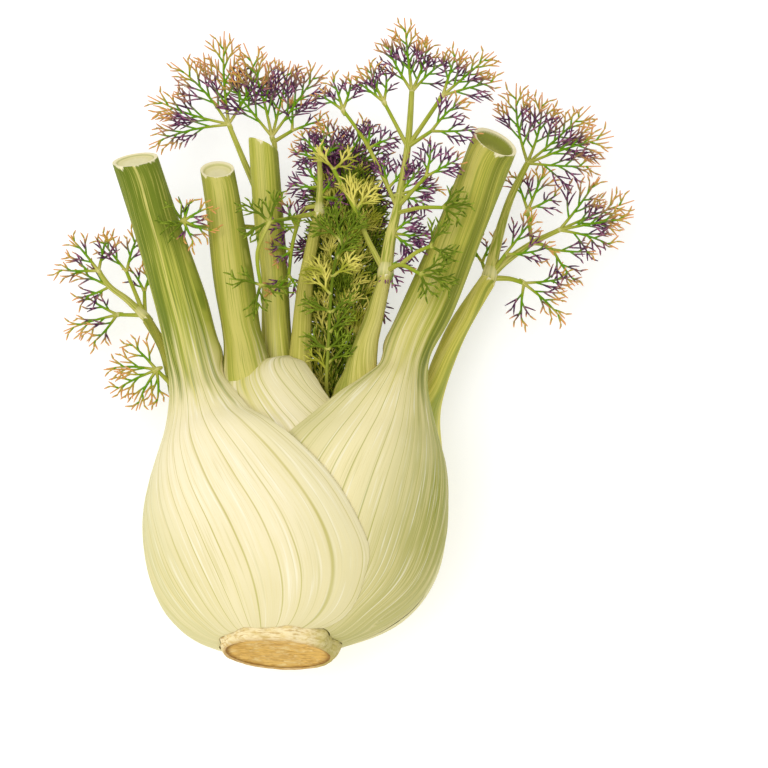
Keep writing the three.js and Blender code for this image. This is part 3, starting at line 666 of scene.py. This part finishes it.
grow_leaf("centre_leaf", "leaf_centre", "stalk", on_bulb(
    "left", (5, 5, 5), -46, -28, -8, 6,
) + off_bulb([
    (-13, 18, 20, 18, 12, 37.5),
    (-5.5, 30, 8, 30, 6.8, 41.5),
    (-3.8, 42, 4.2, 42, 3.8, 43.8),
    (-1.5, 67.8, 4.2, 67.8, 2.8, 42.5),
    (0.7, 81.4, 5.1, 81.4, 2.3, 42),
    (4, 97.5, 8, 97.5, 2, 42),
]), dict(sheath="#f1ebc2", groove="#d8d38a", stalk="#cfc563", dark="#a19f38",
         bands=[(0.04, 0.1, "#87902c", 0.9, 0.05), (0.98, 0.1, "#87902c", 0.9, 0)]),
    ribs=14, sides=96, hollow=0.3)

# ---------------- the third leaf on the left
# Only its stalk shows, cut off on a long slant so that it ends in a thin pale lip.

grow_leaf("left_third_leaf", "leaf_left_third", "stalk", on_bulb(
    "left", (3, 4, 4), -48, -28, -8, 6,
) + off_bulb([
    (-28, 17, 24, 17, 16, 36),
    (-18.5, 29, 8, 29, 10.5, 36),
    (-12.6, 41, -0.5, 41, 6.4, 36),
    (-12, 56, -3, 56, 4.7, 35.3),
    (-13.5, 78, -4.4, 78, 4.7, 34),
    (-16.4, 100, -6.2, 100, 4.9, 33),
    (-18.8, 131, -8.4, 126, 4.4, 32),
], cut=-0.1), dict(
    sheath="#f1ebc2", groove="#d8d38a", stalk="#dbd460", dark="#9aa134",
    bands=[(0.09, 0.09, "#7f8d2c", 0.8, 0), (0.3, 0.08, "#ddd47c", 0.8, 0),
           (0.95, 0.1, "#7f8d2c", 0.8, 0)],
    top=0.45), ribs=20, sides=112, hollow=0.5)

# ---------------- the slender leaf
# A thin stalk from the back of the bulb that runs up behind the third leaf to the high frond.

grow_leaf("slender_leaf", "leaf_slender", "stalk", off_bulb([
    (-20, -10, 6, -10, 5, 15),
    (-18, 12, -1, 12, 4.3, 18),
    (-15.4, 32, -6.6, 32, 3.2, 22.5),
    (-13.6, 56, -8.6, 56, 2.3, 24.6),
    (-14.2, 99, -10.4, 99, 1.8, 24),
]), dict(neck=0.3, sheath="#ebe5b4", groove="#ccca80", stalk="#b9b455", dark="#8f9331"),
    ribs=10, sides=48)

# ---------------- the second leaf on the right
# Its sheath lies under the right outer leaf. Its pale stalk swells to a node, where the great
# front frond begins.

grow_leaf("right_second_leaf", "leaf_right_second", "stalk", on_bulb(
    "right", (1, 3, 3), -49, -32, -12, (4, -22),
) + off_bulb([
    (39.5, 15, -22, 15, 21, 36.5, -6),
    (33, 26, 2, 26, 14.5, 39.5, 8.5),
    (26.4, 36, 12.6, 35, 7, 44.6),
    (26, 47, 16.9, 46, 4.9, 46),
    (27.7, 57, 20.6, 56, 3.8, 46),
    (30.7, 73, 25.9, 72, 2.7, 46),
]), dict(
    neck=0.56, sheath="#f1ebc2", groove="#d8d38a", stalk="#d7cc74", dark="#a8a640",
    bands=[(0.1, 0.08, "#848d2c", 0.85, 0.04), (0.34, 0.09, "#ddd384", 0.8, 0)],
), ribs=18, sides=120)

# ---------------- the second leaf on the left
# Its cream shoulder shows in the notch between the two outer leaves, with fine ribs that fan out
# from the foot of the stalk. The stalk is cut square, which leaves an oval end.

grow_leaf("left_second_leaf", "leaf_left_second", "leaf_base", on_bulb(
    "left", (1, 1, 2), (-50, 6), (-41, 20), (-25, 29), (-6, 29), (9, 21),
) + off_bulb([
    (-40.5, 19, 33, 19, 26, 36, 15),
    (-37, 28, 24, 28, 22.4, 36.6, 9.5),
    (-30, 35, 17, 35, 18.4, 37.6, 6),
    (-21, 40.4, 12.5, 40.8, 13.4, 38.6, 2.5),
    (-13.5, 43.4, 7, 43.8, 8.4, 39.4, -0.5),
    (-7.5, 45.2, 1.5, 45.4, 3.6, 39.8),
]), dict(
    neck=0.56, sheath="#f4e8c0", groove="#aca748", stalk="#bdb74c", dark="#98a038",
    bands=[(0.18, 0.12, "#a9aa46", 0.7, 0.21), (0.16, 0.09, "#d8cd72", 0.9, 0),
           (-0.05, 0.11, "#76832a", 0.95, 0.04), (0.34, 0.05, "#8f9436", 0.8, 0.06)],
), ribs=28, steps=7, hollow=1.8, turn=(0.12, 8, 46), stalk=off_bulb([
    (-27, 22, -10, 22, 10, 38),
    (-29, 30, -6, 30, 16.5, 38.4),
    (-26.5, 37, -7.4, 37, 14, 40.6),
    (-25.4, 47, -10.8, 47.6, 8.4, 41.2),
    (-26.2, 56, -13.4, 57.4, 6.6, 41.2),
    (-29.4, 74, -15.8, 76, 6.2, 41),
    (-32.4, 99.7, -20.4, 101.6, 5.8, 41),
    (-34.6, 114.4, -23.1, 115.6, 5.6, 41),
], cut=-1.02))

# ---------------- the outer leaf on the right
# A great ribbed sheath from the right whose margin dips under the left one, painted olive down its
# right side as shade. The stalk is cut off hollow, with a thin pale rim, and is painted dark olive
# inside as the shade of the hollow.

grow_leaf("right_outer_leaf", "leaf_right_outer", "leaf_base", on_bulb(
    "right", (0, 1, 1), (-52.4, -14), (-45, -18), (-34.6, -22), (-18, -20), (-3, -12), (8, -3.5),
) + off_bulb([
    (46.6, 17, -34, 17, 30.6, MIDDLE, 5.5),
    (44.6, 25, -15, 25, 26.2, 37, 13),
    (43, 32.5, 6, 33, 19.6, 38.6, 20.5),
    (42.6, 39.5, 20.5, 41, 12.6, 40.2, 25.4),
    (44, 47.5, 28.6, 52.5, 8.6, 41.5),
    (51.2, 61.5, 35.4, 68, 7.6, 42.2),
    (61.4, 89, 47.2, 96.2, 7.1, 43.6),
    (72.8, 118.8, 59, 128, 6.8, 45),
], cut=-0.92), dict(
    neck=0.6, sheath="#f2e6b2", groove="#a9a850", stalk="#bab44a", dark="#8f9834",
    bands=[(0.16, 0.06, "#cfc568", 0.9, -0.02), (0.33, 0.055, "#5e6b16", 0.9, 0.1),
           (0.01, 0.05, "#8a9234", 0.8, 0.03), (0.43, 0.06, "#8a9534", 0.9, 0.2)],
    # The olive side is painted shade down the right of the bulb; the dark olive cut and core are
    # painted shade inside the hollow end.
    side="#969838", reach=(0.34, 0.07), cut="#8f933a", core="#b5b257",
), ribs=30, sides=224, hollow=4.5, turn=(0.04, 30, 52))

# ---------------- the outer leaf on the left
# The outermost leaf covers most of the front and ends in a curved margin on the right. It rests
# on the small flat spot at its back, and its thick stalk is cut off a little hollow.

grow_leaf("left_outer_leaf", "leaf_left_outer", "leaf_base", on_bulb(
    "left", (0, 0, 0), (-52.4, 7), (-48.6, 16, 14), (-41, 22.4, 21), (-31, 24.6, 26),
    (-19, 19.6, 28), (-8, 12.4, 28), (3, 2, 24), (12, -8.5, 12),
) + off_bulb([
    (-44.8, 20, 28, 20, 29.6, MIDDLE, -16.8, -8),
    (-43.6, 28, 2, 28.6, 20.8, 37.4, -20.6),
    (-43.4, 36, -17.6, 38, 12, 39.2, -23),
    (-44.4, 45, -26.2, 49.4, 8.5, 40.8),
    (-48.4, 63, -31.8, 68.4, 7.4, 42),
    (-56.2, 90, -41, 94.4, 6.8, 43.5),
    (-64.2, 115, -49, 118.4, 6.5, 45),
], cut=-0.81), dict(
    neck=0.59, sheath="#f7ebc4", groove="#bdb25c", stalk="#b6b84a", dark="#6e7e22",
    bands=[(-0.06, 0.04, "#b3b44c", 0.8, 0), (0.06, 0.042, "#6b7a1e", 0.75, 0),
           (0.175, 0.012, "#ddd377", 0.9, 0), (0.27, 0.08, "#65761c", 0.95, 0.03)],
    top=0.9), ribs=26, sides=256, hollow=0.9, turn=(0.11, 20, 46))

# ---------------- the two leaves on the back
# They lie on the back of the bulb, and their thin stalks come up beside the thick ones.

grow_leaf("right_back_leaf", "leaf_right_back", "leaf_base", off_bulb([
    (10, -51.5, -5, -51.5, 9, 29.5),
    (33.4, -42, -4, -42, 19, 29),
    (45.4, -26, -3, -26, 25.2, 26.4),
    (49.2, -6, -2, -6, 26.6, 26),
    (48.7, 8, 1, 8, 26, 25.6),
    (47.4, 20, 14, 20, 20, 24.6),
    (46.9, 30, 29, 30, 12.5, 24.8),
    (48.2, 38.5, 39.4, 39, 6.6, 25.4),
    (51.8, 50, 44.6, 52, 4.3, 25.6),
    (57.2, 63.5, 50.6, 66, 3.8, 24.4),
    (66, 80.5, 61.2, 83.5, 2.9, 22.2),
]), dict(
    neck=0.47, sheath="#efebc8", groove="#c6cb86", stalk="#dfd565", dark="#b3b444",
    bands=[(0.38, 0.06, "#7d8e2a", 0.9, 0), (0.2, 0.06, "#ece184", 0.8, 0)],
), ribs=26, sides=144, hollow=0.3)

grow_leaf("left_back_leaf", "leaf_left_back", "leaf_base", off_bulb([
    (-22, -51.5, -9, -51.5, 9, 29.5),
    (-41, -42, -9, -42, 19, 29),
    (-49, -26, -6, -26, 25.2, 26.4),
    (-50.6, -6, -5, -6, 26.6, 26),
    (-47.6, 8, -7, 8, 25.6, 25.2),
    (-43.8, 20, -22, 20, 16, 22),
    (-43.2, 30, -34, 30, 8, 20),
    (-44.6, 40, -40.6, 41, 3.2, 20.5),
    (-48.4, 56.4, -45.1, 57.8, 1.9, 19.6),
    (-54.6, 68.6, -52.4, 71.4, 1.6, 17.4),
]), dict(
    sheath="#efebc8", groove="#c6cb86", stalk="#b1ad49", dark="#84892c",
    bands=[(0.35, 0.08, "#6a7c22", 0.7, 0)],
), ribs=26, sides=128)

# ---------------- the fronds
# A fennel frond divides again and again: a stem swells to a node, rays fan out from it, and each
# ray carries alternate sprigs of soft threads. Young threads are green, the crowded inner ones are
# painted dark purple, partly their own colour and partly painted shade inside the dense frond, and
# the outer tips dry to orange.

ROOT_OFFSET = 0.6
SMALL_SPRAY = 13
RAY_LIFT = 26
STEM_SMOOTHING = 6
THICK_STEM, KNOBBED_STEM = 1.2, 1.4
KNOB_START, KNOB_LENGTH = -2.4, 9.6
KNOB = (0.9, 1.1, 1.12, 0.98, 0.8, 0.5), (0.09, 0.06, 0.04, 0.05, 0.08, 0.1)
HUB_START, HUB_LENGTH = -2.2, 4
HUB = (0.4, 0.75, 0.95, 0.8, 0.35), (0.14, 0.08, 0.05, 0.08, 0.14)
RAY, SPRIG, THREAD = 2, 1, 0
ORDERS = {
    RAY: {"girths": (0.6, 0.44, 0.36, 0.2), "along": (0.1, 0.25, 0.4, 1),
          "pitch": 2.7, "angle": 32, "first": 0.2, "reach": (0.58, 1.4)},
    SPRIG: {"girths": (0.38, 0.33, 0.3, 0.16), "along": (0.25, 0.4, 0.6, 1),
            "pitch": 1.9, "angle": 27, "first": 0.3, "reach": (0.5, 2.2)},
    THREAD: {"girths": (0.3, 0.32, 0.28, 0.14), "along": (0.42, 0.6, 0.8, 1)},
}
TWIG_BOW, TURN_SPREAD, TILT_SPREAD = 0.12, 10, 40
TWIG_SHARE, CROWDED_SHARE = 0.74, 1.4
BUNCHED, BUNCH_X, BUNCH_Y, BUNCH_WIDTH, BUNCH_LENGTH = 0.6, 22, 88, 32, 46
STEM = 1.0
ORDER_THICKNESS = 0.25
# Input, sides, and the thickness above which a line is this one.
TUBES = [("Stem Sides", 12, 0.75), ("Ray Sides", 6, 0.1), ("Thread Sides", 4, -1)]
DARK, LIGHT, DRY = 1.0, 2.0, 3.0


def draw(*path):
    """Repeatable draw between 0 and 1 for a path of whole numbers."""
    seed = 0.5 + sum(step * (12.9898 + 7.31 * i) for i, step in enumerate(path))
    value = math.sin(seed) * 43758.5453
    return value - math.floor(value)


def pointing(heading, lift):
    """A unit vector from a heading and a lift in degrees."""
    flat, up = math.radians(heading), math.radians(lift)
    return np.array([math.cos(up) * math.cos(flat), math.cos(up) * math.sin(flat), math.sin(up)])


class Strands:
    """Lines that become the stems, rays and threads of a frond."""

    NAMES = "girth", "along", "zone", "kind", "thick"

    def __init__(self):
        self.points, self.edges, self.values = [], [], []

    def line(self, path, girths, along, zones=(0, 0), kind=0.0, thick=STEM):
        """A line through points; each row of values is spread evenly over its length."""
        first = len(self.points)
        shares = np.linspace(0, 1, len(path))
        rows = girths, along, zones, (kind, kind), (thick, thick)
        self.points.extend(path)
        self.edges.extend((first + i, first + i + 1) for i in range(len(path) - 1))
        self.values.extend(zip(*(np.interp(shares, np.linspace(0, 1, len(row)), row) for row in rows)))


def bent(start, direction, length, bend, count):
    """Points from start along a direction, bowed sideways and back to it at the far end."""
    shares = np.linspace(0, 1, count)
    side = np.cross(direction, (0, 0, 1.0))
    bow = np.sin(np.pi * shares)[:, None] * bend * length
    return start + direction * (length * shares)[:, None] + side * bow


def crowding(point):
    """How crowded the fronds are at a point: most in the middle of the bunch. Crowding adds threads and
    spreads the purple of the threads, which is partly painted shade.
    """
    x, y, _ = point
    x, y = (x - BUNCH_X) / BUNCH_WIDTH, (y - BUNCH_Y) / BUNCH_LENGTH
    return BUNCHED * math.exp(-x ** 2 - y ** 2)


def twig(strands, root, heading, lift, length, order, zone_of, kind, key):
    """A branch that carries smaller ones to either side; the smallest are bare threads."""
    rule = ORDERS[order]
    bow = TWIG_BOW * (draw(*key, 1) - 0.5)
    path = bent(root, pointing(heading, lift), length, bow, 4 + 2 * order)
    zones = (zone_of(path[0]), zone_of(path[-1]))
    strands.line(path, rule["girths"], rule["along"], zones, kind, ORDER_THICKNESS * order)
    if order == THREAD:
        return
    more = 1 + CROWDED_SHARE * crowding(path[1])
    count = max(2, round(TWIG_SHARE * length / rule["pitch"] * more))
    share, extra = rule["reach"]
    for i in range(count):
        t = rule["first"] + 0.6 * i / (count - 1)
        place = np.array([np.interp(t, np.linspace(0, 1, len(path)), axis) for axis in path.T])
        side = 1 if (i + key[-1]) % 2 else -1
        turn = heading + side * (rule["angle"] + TURN_SPREAD * (draw(*key, 2, i) - 0.5))
        tilt = lift + TILT_SPREAD * (draw(*key, 3, i) - 0.5)
        left = length * (1 - t)
        reach = (share * left + extra) * (0.85 + 0.3 * draw(*key, 4, i))
        twig(strands, place, turn, tilt, reach, order - 1, zone_of, kind, (*key, i))


def spray(strands, hub, heading, spread, reach, rays, upward, key, knobbed, kind):
    """A fan of rays from a hub."""
    hub = np.array(hub, float)
    swells = knobbed and rays > 2 and reach > SMALL_SPRAY
    if swells:
        swell = pointing(heading, upward)
        strands.line(bent(hub + swell * HUB_START, swell, HUB_LENGTH, 0, 9), *HUB)

    def zone_of(point):
        return float(np.linalg.norm(point - hub)) / reach - crowding(point)

    for r in range(rays):
        share = r / (rays - 1) - 0.5 if rays > 1 else 0
        ray_heading = heading + spread * share + TURN_SPREAD * (draw(key, r, 1) - 0.5)
        ray_lift = upward + RAY_LIFT * (draw(key, r, 2) - 0.5)
        length = reach * (1 - 0.7 * share * share) * (0.86 + 0.2 * draw(key, r, 3))
        root = hub + pointing(ray_heading, ray_lift) * (ROOT_OFFSET if swells else 0)
        twig(strands, root, ray_heading, ray_lift, length, RAY, zone_of, kind, (key, r))


def thread_tree():
    """Turns the lines of a frond into round, tapering stems and threads, the thickest first."""
    tree = bpy.data.node_groups.new("stems_and_threads", "GeometryNodeTree")
    nodes = Nodes(tree)
    make = nodes.node

    def socket(name, kind, way="INPUT"):
        return tree.interface.new_socket(name, in_out=way, socket_type=f"NodeSocket{kind}")

    def given(name):
        return make("NodeGroupInput", {}, {}, out=name)

    def named(name):
        return make("GeometryNodeInputNamedAttribute", {"data_type": "FLOAT"}, {"Name": name})

    socket("Lines", "Geometry")
    for label, sides, _ in TUBES:
        socket(label, "Int").default_value = sides
    skin_input = socket("Skin", "Material").identifier
    socket("Frond", "Geometry", "OUTPUT")
    together = make("GeometryNodeJoinGeometry", {}, {})
    rest = given("Lines")
    for label, _, limit in TUBES:
        settings = {"data_type": "FLOAT", "operation": "GREATER_THAN"}
        thicker = make("FunctionNodeCompare", settings, {"A": named("thick"), "B": limit})
        chosen = make("GeometryNodeSeparateGeometry", {}, {"Geometry": rest, "Selection": thicker})
        rest = Wire(nodes, chosen.socket.node.outputs["Inverted"])
        ring = make("GeometryNodeCurvePrimitiveCircle", {}, {"Radius": 1.0, "Resolution": given(label)})
        around = make("GeometryNodeStoreNamedAttribute", {"data_type": "FLOAT_VECTOR"}, {
            "Geometry": ring, "Name": "around", "Value": make("GeometryNodeInputPosition", {}, {})})
        tube = make("GeometryNodeCurveToMesh", {}, {
            "Curve": make("GeometryNodeMeshToCurve", {}, {"Mesh": chosen}),
            "Profile Curve": around, "Scale": named("girth"), "Fill Caps": True})
        nodes.join(tube, together.socket.node.inputs["Geometry"])
    rounded = make("GeometryNodeSetShadeSmooth", {}, {"Geometry": together})
    real = make("GeometryNodeRealizeInstances", {}, {"Geometry": rounded})
    coloured = make("GeometryNodeSetMaterial", {}, {"Geometry": real, "Material": given("Skin")})
    nodes.join(coloured, tree.nodes.new("NodeGroupOutput").inputs["Frond"])
    return tree, skin_input


def frond_skin():
    """Threads by how far along, how far out and what kind they are."""
    skin = Skin("frond_threads")

    def value(name, out=2):
        return skin.node("ShaderNodeAttribute", {"attribute_name": name}, {}, out)

    along, zone, kind = value("along"), value("zone"), value("kind")
    place = skin.place()
    side, top, _ = skin.split(value("around", out=1))
    streaks = skin.noise(skin.vector(side * 1.6, top * 1.6, skin.split(place)[1] * 60), 2.0, 2)
    patches = skin.noise(place, 130, 2)
    specks = skin.noise(place, 700, 2)
    thread = along.rise(0.12, 0.2)
    is_dark = kind.rise(0.25, 0.5) * (1 - kind.rise(1.25, 1.5))
    is_light = kind.rise(1.5, 1.75) * kind.rise(2.5, 2.25)
    outer = (zone + (patches - 0.5) * 0.6 + kind.rise(2.5, 2.75)).rise(0.5, 0.7)
    green = skin.over("#a8ac34", ("#689a08", along.rise(0.12, 0.3)))
    # The dark purple of the crowded inner threads is partly their colour and partly painted shade.
    purple = skin.over("#552c50", ("#a8688a", specks.rise(0.46, 0.64)))
    orange = skin.over("#bfa844", ("#eba568", along.rise(0.45, 0.95)))
    dark = skin.over("#607414", ("#96a832", along.rise(0.2, 0.9) * specks.rise(0.4, 0.6)))
    light = skin.over("#a2a430", ("#e4d96c", patches.rise(0.38, 0.6)))
    colour = skin.over(
        "#cdc56c", ("#98a03a", streaks.rise(0.42, 0.6)), ("#e9dfa6", along.rise(0.08, 0.03) * 0.7),
        (green, along.rise(0.1, 0.2)), (skin.over(purple, (orange, outer)), along.rise(0.3, 0.54)),
        (dark, is_dark * thread), (light, is_light * thread))
    return skin.finish({"Base Color": colour, "Roughness": 0.5})


thread_skin = frond_skin()
threads, skin_input = thread_tree()


def grow_frond(name, node, strands):
    """The finished frond: the tree's result as a plain mesh."""
    mesh = bpy.data.meshes.new(name)
    mesh.from_pydata((np.array(strands.points) * MM).tolist(), strands.edges, [])
    for key, values in zip(Strands.NAMES, np.array(strands.values, np.float32).T):
        layer = mesh.attributes.new(key, "FLOAT", "POINT")
        layer.data.foreach_set("value", values * (MM if key == "girth" else 1.0))
    lines = put(f"{name}_lines", mesh)
    modifier = lines.modifiers.new("threads", "NODES")
    modifier.node_group = threads
    modifier[skin_input] = thread_skin
    made = add(name, applied(lines), thread_skin)
    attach(made, "root")
    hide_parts(node)


def frond(key, stems, sprays, knobbed=True, kinds=(), stem_kind=0.0):
    """A frond from its stems (start radius, end radius, points) and its sprays.

    A spray starts at a point, or at the end of the stem whose number it gives.
    """
    strands = Strands()
    for i, (start, end, *points) in enumerate(stems):
        path = smooth(points, STEM_SMOOTHING)
        green = 0.1 if start > THICK_STEM else 0.15
        girths = (start, 0.35 * start + 0.65 * end, end)
        strands.line(path, girths, (green - 0.03, green + 0.06), kind=stem_kind)
        if i == 0 and start > KNOBBED_STEM:
            girths, along = KNOB
            swell = (path[4] - path[0]) / np.linalg.norm(path[4] - path[0])
            strands.line(bent(path[0] + swell * KNOB_START, swell, KNOB_LENGTH, 0, 17),
                         [share * start for share in girths], along)
    for i, (hub, heading, spread, reach, rays, *upward) in enumerate(sprays):
        hub = stems[hub][-1] if isinstance(hub, int) else hub
        spray(strands, hub, heading, spread, reach, rays, upward[0] if upward else 0,
              key * 40 + i, knobbed, dict(kinds).get(i, 0.0))
    return strands


grow_frond("right_back_frond", "frond_right_back", frond(1, [
    (2.4, 1, (63.8, 82.6, 22.2), (67, 96.5, 24), (71.5, 111, 26), (77.5, 123.5, 28)),
    (1.8, 0.8, (63.9, 82.9, 22.2), (69, 88.5, 22), (79, 96, 22), (88.5, 101, 22)),
    (0.8, 0.6, (79, 96, 22), (82, 96, 21), (86, 94.5, 20)),
    (0.8, 0.6, (79, 96, 22), (78, 102, 24), (77.5, 107, 25)),
    (1.1, 0.7, (64.4, 82.8, 22), (71, 83.5, 20), (76, 82.5, 18.5)),
    (1, 0.6, (64.2, 83.4, 22), (69.5, 90, 26)),
    (0.9, 0.6, (63.4, 83.2, 22), (61.8, 90, 19)),
], [
    (0, 47, 110, 35, 5),
    (1, 18, 70, 29, 4),
    (3, 68, 76, 18, 3),
    (2, -36, 50, 21, 2, 4),
    (4, -46, 100, 20, 3, 3),
    (5, 26, 50, 22, 2, 6),
    (6, 92, 50, 15, 2),
]))

grow_frond("left_back_frond", "frond_left_back", frond(2, [
    (1.5, 0.8, (-53.6, 70.4, 17.2), (-60, 76.5, 18), (-66, 81, 19), (-70, 86.5, 20)),
    (0.8, 0.6, (-54.5, 71, 17.4), (-63.5, 72, 15.5)),
    (0.9, 0.6, (-54.2, 71.4, 17.4), (-60.3, 86, 20)),
    (0.8, 0.6, (-53.8, 71.2, 17.4), (-54.4, 80.5, 15.5)),
], [
    (0, 130, 100, 17.6, 3),
    ((-66, 81, 19), 176, 50, 18, 2),
    (2, 102, 50, 20, 2),
    (1, 194, 90, 18, 3, 3),
    (3, 98, 40, 13, 2, 3),
]))

grow_frond("left_low_frond", "frond_left_low", frond(3, [
    (0.9, 0.6, (-43.6, 43.5, 21.5), (-46.6, 46, 23.4), (-48.8, 48.2, 24)),
], [
    (0, 205, 140, 17, 5),
], kinds={0: DRY}))

grow_frond("slender_frond", "frond_slender", frond(4, [
    (1.8, 0.8, (-12.2, 99.4, 24), (-15, 112, 24.4), (-21, 127, 25), (-26, 139.5, 26)),
    (1.3, 0.8, (-12.2, 99.6, 24), (-10, 129.5, 22.6), (-11, 136.5, 22.4)),
    (0.9, 0.6, (-12.3, 100.5, 24), (-22, 101, 25), (-31, 99.5, 28), (-36, 94, 40), (-39, 89.5, 54)),
    (0.8, 0.6, (-11, 134, 22.6), (-4, 138, 24)),
], [
    (0, 128, 130, 34, 5),
    (1, 92, 76, 36, 4),
    (3, 55, 70, 14, 2),
    (2, 180, 110, 9, 3),
    (2, 5, 140, 11, 4),
], kinds={3: DARK}))

grow_frond("centre_right_frond", "frond_centre_right", frond(5, [
    (2.5, 0.9, (28.4, 73.4, 46), (30, 85.5, 48), (32.5, 96.5, 50), (36, 119, 50), (37.5, 141, 48)),
    (1.1, 0.7, (28, 74.6, 46.4), (22, 87, 47.4), (18.5, 96, 48.4), (11, 111.5, 47.6)),
    (1, 0.6, (29, 74.4, 46.6), (33.5, 74, 53), (39.9, 68.7, 57.5)),
    (0.8, 0.6, (32.5, 96.5, 50), (25, 115, 48), (20.5, 124.5, 47), (14, 135, 46)),
    (0.9, 0.6, (32.5, 96.5, 50), (42, 105, 56)),
    (0.8, 0.6, (32.2, 94.5, 49.6), (40, 93.5, 56), (47.5, 92.9, 57.5)),
    (0.8, 0.6, (36, 119, 50), (28, 136, 50)),
    (0.9, 0.7, (36, 119, 50), (48, 138, 51)),
    (0.8, 0.6, (36, 119, 50), (44, 122.5, 55)),
    (0.8, 0.6, (33.5, 74, 53), (38.6, 76.8, 56.6), (43.3, 78.7, 57.5)),
], [
    (0, 84, 70, 27, 4),
    (7, 46, 56, 25, 3),
    (8, 26, 50, 20, 2),
    (6, 112, 56, 17, 3),
    (4, 54, 50, 18, 2, 4),
    (5, 6, 90, 10, 3, 5),
    (3, 106, 66, 15, 3),
    (1, 85, 80, 12, 2),
    ((18.5, 96, 48.4), 78, 50, 14, 2, 6),
    (2, -18, 90, 12, 3, 4),
    (9, 20, 80, 11, 2, 4),
    ((22.5, 119.5, 47.6), 55, 60, 14, 2),
    ((29.5, 104, 49.4), 76, 50, 15, 2),
    ((33.2, 101, 50.6), 12, 80, 15, 3, 5),
    ((30.6, 87.5, 48.8), -4, 70, 14, 3, 6),
    ((29.5, 77, 47.4), -48, 60, 10, 2, 5),
], kinds={5: DARK, 7: LIGHT, 8: LIGHT, 9: DARK, 10: DARK}))

grow_frond("centre_left_frond", "frond_centre_left", frond(6, [
    (1.7, 0.8, (6, 97, 42), (6.3, 108, 42), (6, 118, 42)),
    (1, 0.6, (5.4, 98, 42), (-1.5, 94.5, 46.5), (-10.3, 89.7, 53)),
    (0.8, 0.6, (-10.3, 89.7, 53), (-14.2, 79, 52), (-12.9, 66.7, 53)),
    (0.8, 0.6, (6.1, 100.5, 42), (1, 99.5, 42), (-1.5, 93, 41.4), (-3.2, 85, 40.6), (-4, 76, 40)),
], [
    (0, 100, 110, 14, 4),
    ((6.3, 108, 42), 155, 60, 15, 2),
    (1, 110, 200, 13, 4, 5),
    (2, -100, 180, 13, 3, 5),
    ((-1.5, 93, 41.4), 150, 70, 12, 2),
    ((-3.2, 85, 40.6), 195, 60, 9, 2),
    (3, -95, 70, 11, 2),
    ((6.3, 104, 42.4), 25, 60, 12, 2, 5),
], kinds={2: DARK, 3: DARK}))

grow_frond("inner_frond", "frond_inner", frond(7, [
    (0.75, 0.45, (10.5, 27, 36.5), (9, 34, 43), (9.5, 45, 48.5), (10.8, 70, 50), (13.5, 84.5, 50)),
], [
    (0, 100, 90, 15, 3),
    ((10.9, 71, 50), 95, 110, 13, 2),
    ((10.5, 58, 50), 95, 110, 13, 2),
    ((9.5, 45, 49), 95, 100, 11, 2),
    ((10, 51, 49.4), 52, 0, 11, 1, 6),
    ((10.4, 64.5, 50), 128, 0, 13, 1, 5),
    ((12, 77.5, 50), 60, 0, 12, 1, -6),
    ((9.4, 39, 46), 138, 0, 10, 1, 8),
    ((9.4, 41, 47), 44, 0, 12, 1, 4),
], kinds={i: LIGHT if i in (1, 5, 7) else DARK for i in range(9)}, stem_kind=DARK))

# ---------------- the frond in the heart
# The youngest frond is still a dense dark green brush: so many threads round one stem that they
# hide it, with lighter ones in front and purple ones at the top.

HEART_CORE = smooth([  # x, y, z, half width and half depth
    (10.5, 27.5, 31.5, 2.6, 2),
    (12, 44, 33, 4.4, 3),
    (14.5, 72, 30.5, 6.6, 3.8),
    (15.5, 102, 28.5, 6, 3.6),
    (14.5, 124, 27, 2.4, 2),
], 16)
PURPLE_FROM = 112
ROUND = 7
FRONT_TWIGS = 26
heart = frond(8, [], [
    ((14.5, 123, 27), 90, 150, 20, 4),
    ((17, 108, 28.4), 42, 56, 20, 2),
    ((13, 108, 28.4), 138, 56, 20, 2),
    ((17, 90, 29.4), 26, 60, 20, 2),
    ((12, 90, 29.4), 152, 60, 19, 2),
    ((16, 70, 31), 20, 70, 18, 2),
    ((12, 70, 31), 158, 60, 17, 2),
    ((14, 52, 33), 90, 120, 13, 2),
    ((15.4, 104, 30), 84, 240, 14, 3, 34),
    ((15, 86, 31), 96, 240, 14, 3, 34),
    ((14, 66, 32), 86, 240, 14, 3, 34),
], knobbed=False, kinds={7: DARK, 8: DARK, 9: DARK, 10: DARK})


def bush(root, heading, lift, length, order, kind, key):
    """A twig of the brush."""
    twig(heart, np.array(root), heading, lift, length, order, lambda point: 0.2, kind, key)


for row, (x, y, z, width, depth) in enumerate(HEART_CORE):
    for turn in range(ROUND):
        angle = 2 * math.pi * (turn + draw(row, turn, 1)) / ROUND
        across, up = math.cos(angle), math.sin(angle)
        kind = LIGHT if up > 0.1 and draw(row, turn, 4) > 0.75 else DARK
        if y > PURPLE_FROM and draw(row, turn, 5) > 0.5:
            kind = 0.0
        bush((x + 0.5 * width * across, y, z + 0.5 * depth * up),
             90 - 66 * across + 24 * (draw(row, turn, 2) - 0.5),
             40 * up + 20 * (draw(row, turn, 3) - 0.5), width + 5, SPRIG, kind, (row, turn))
for i in range(FRONT_TWIGS):
    side = 1 if i % 2 else -1
    bush((13 + side * 4.5 * draw(i, 11), 30 + 2.9 * i, 35.5), 90 - side * (12 + 40 * draw(i, 12)),
         14 + 24 * draw(i, 13), 10 + 4 * draw(i, 14), RAY, LIGHT, (90, i))
for (*here, _, depth), (*there, _, _) in zip(HEART_CORE[:-1:8], HEART_CORE[8::8]):
    heart.line(np.linspace(here, there, 4), (depth * 0.6, depth * 0.6), (0.5, 0.5), kind=DARK)
grow_frond("heart_frond", "frond_heart", heart)
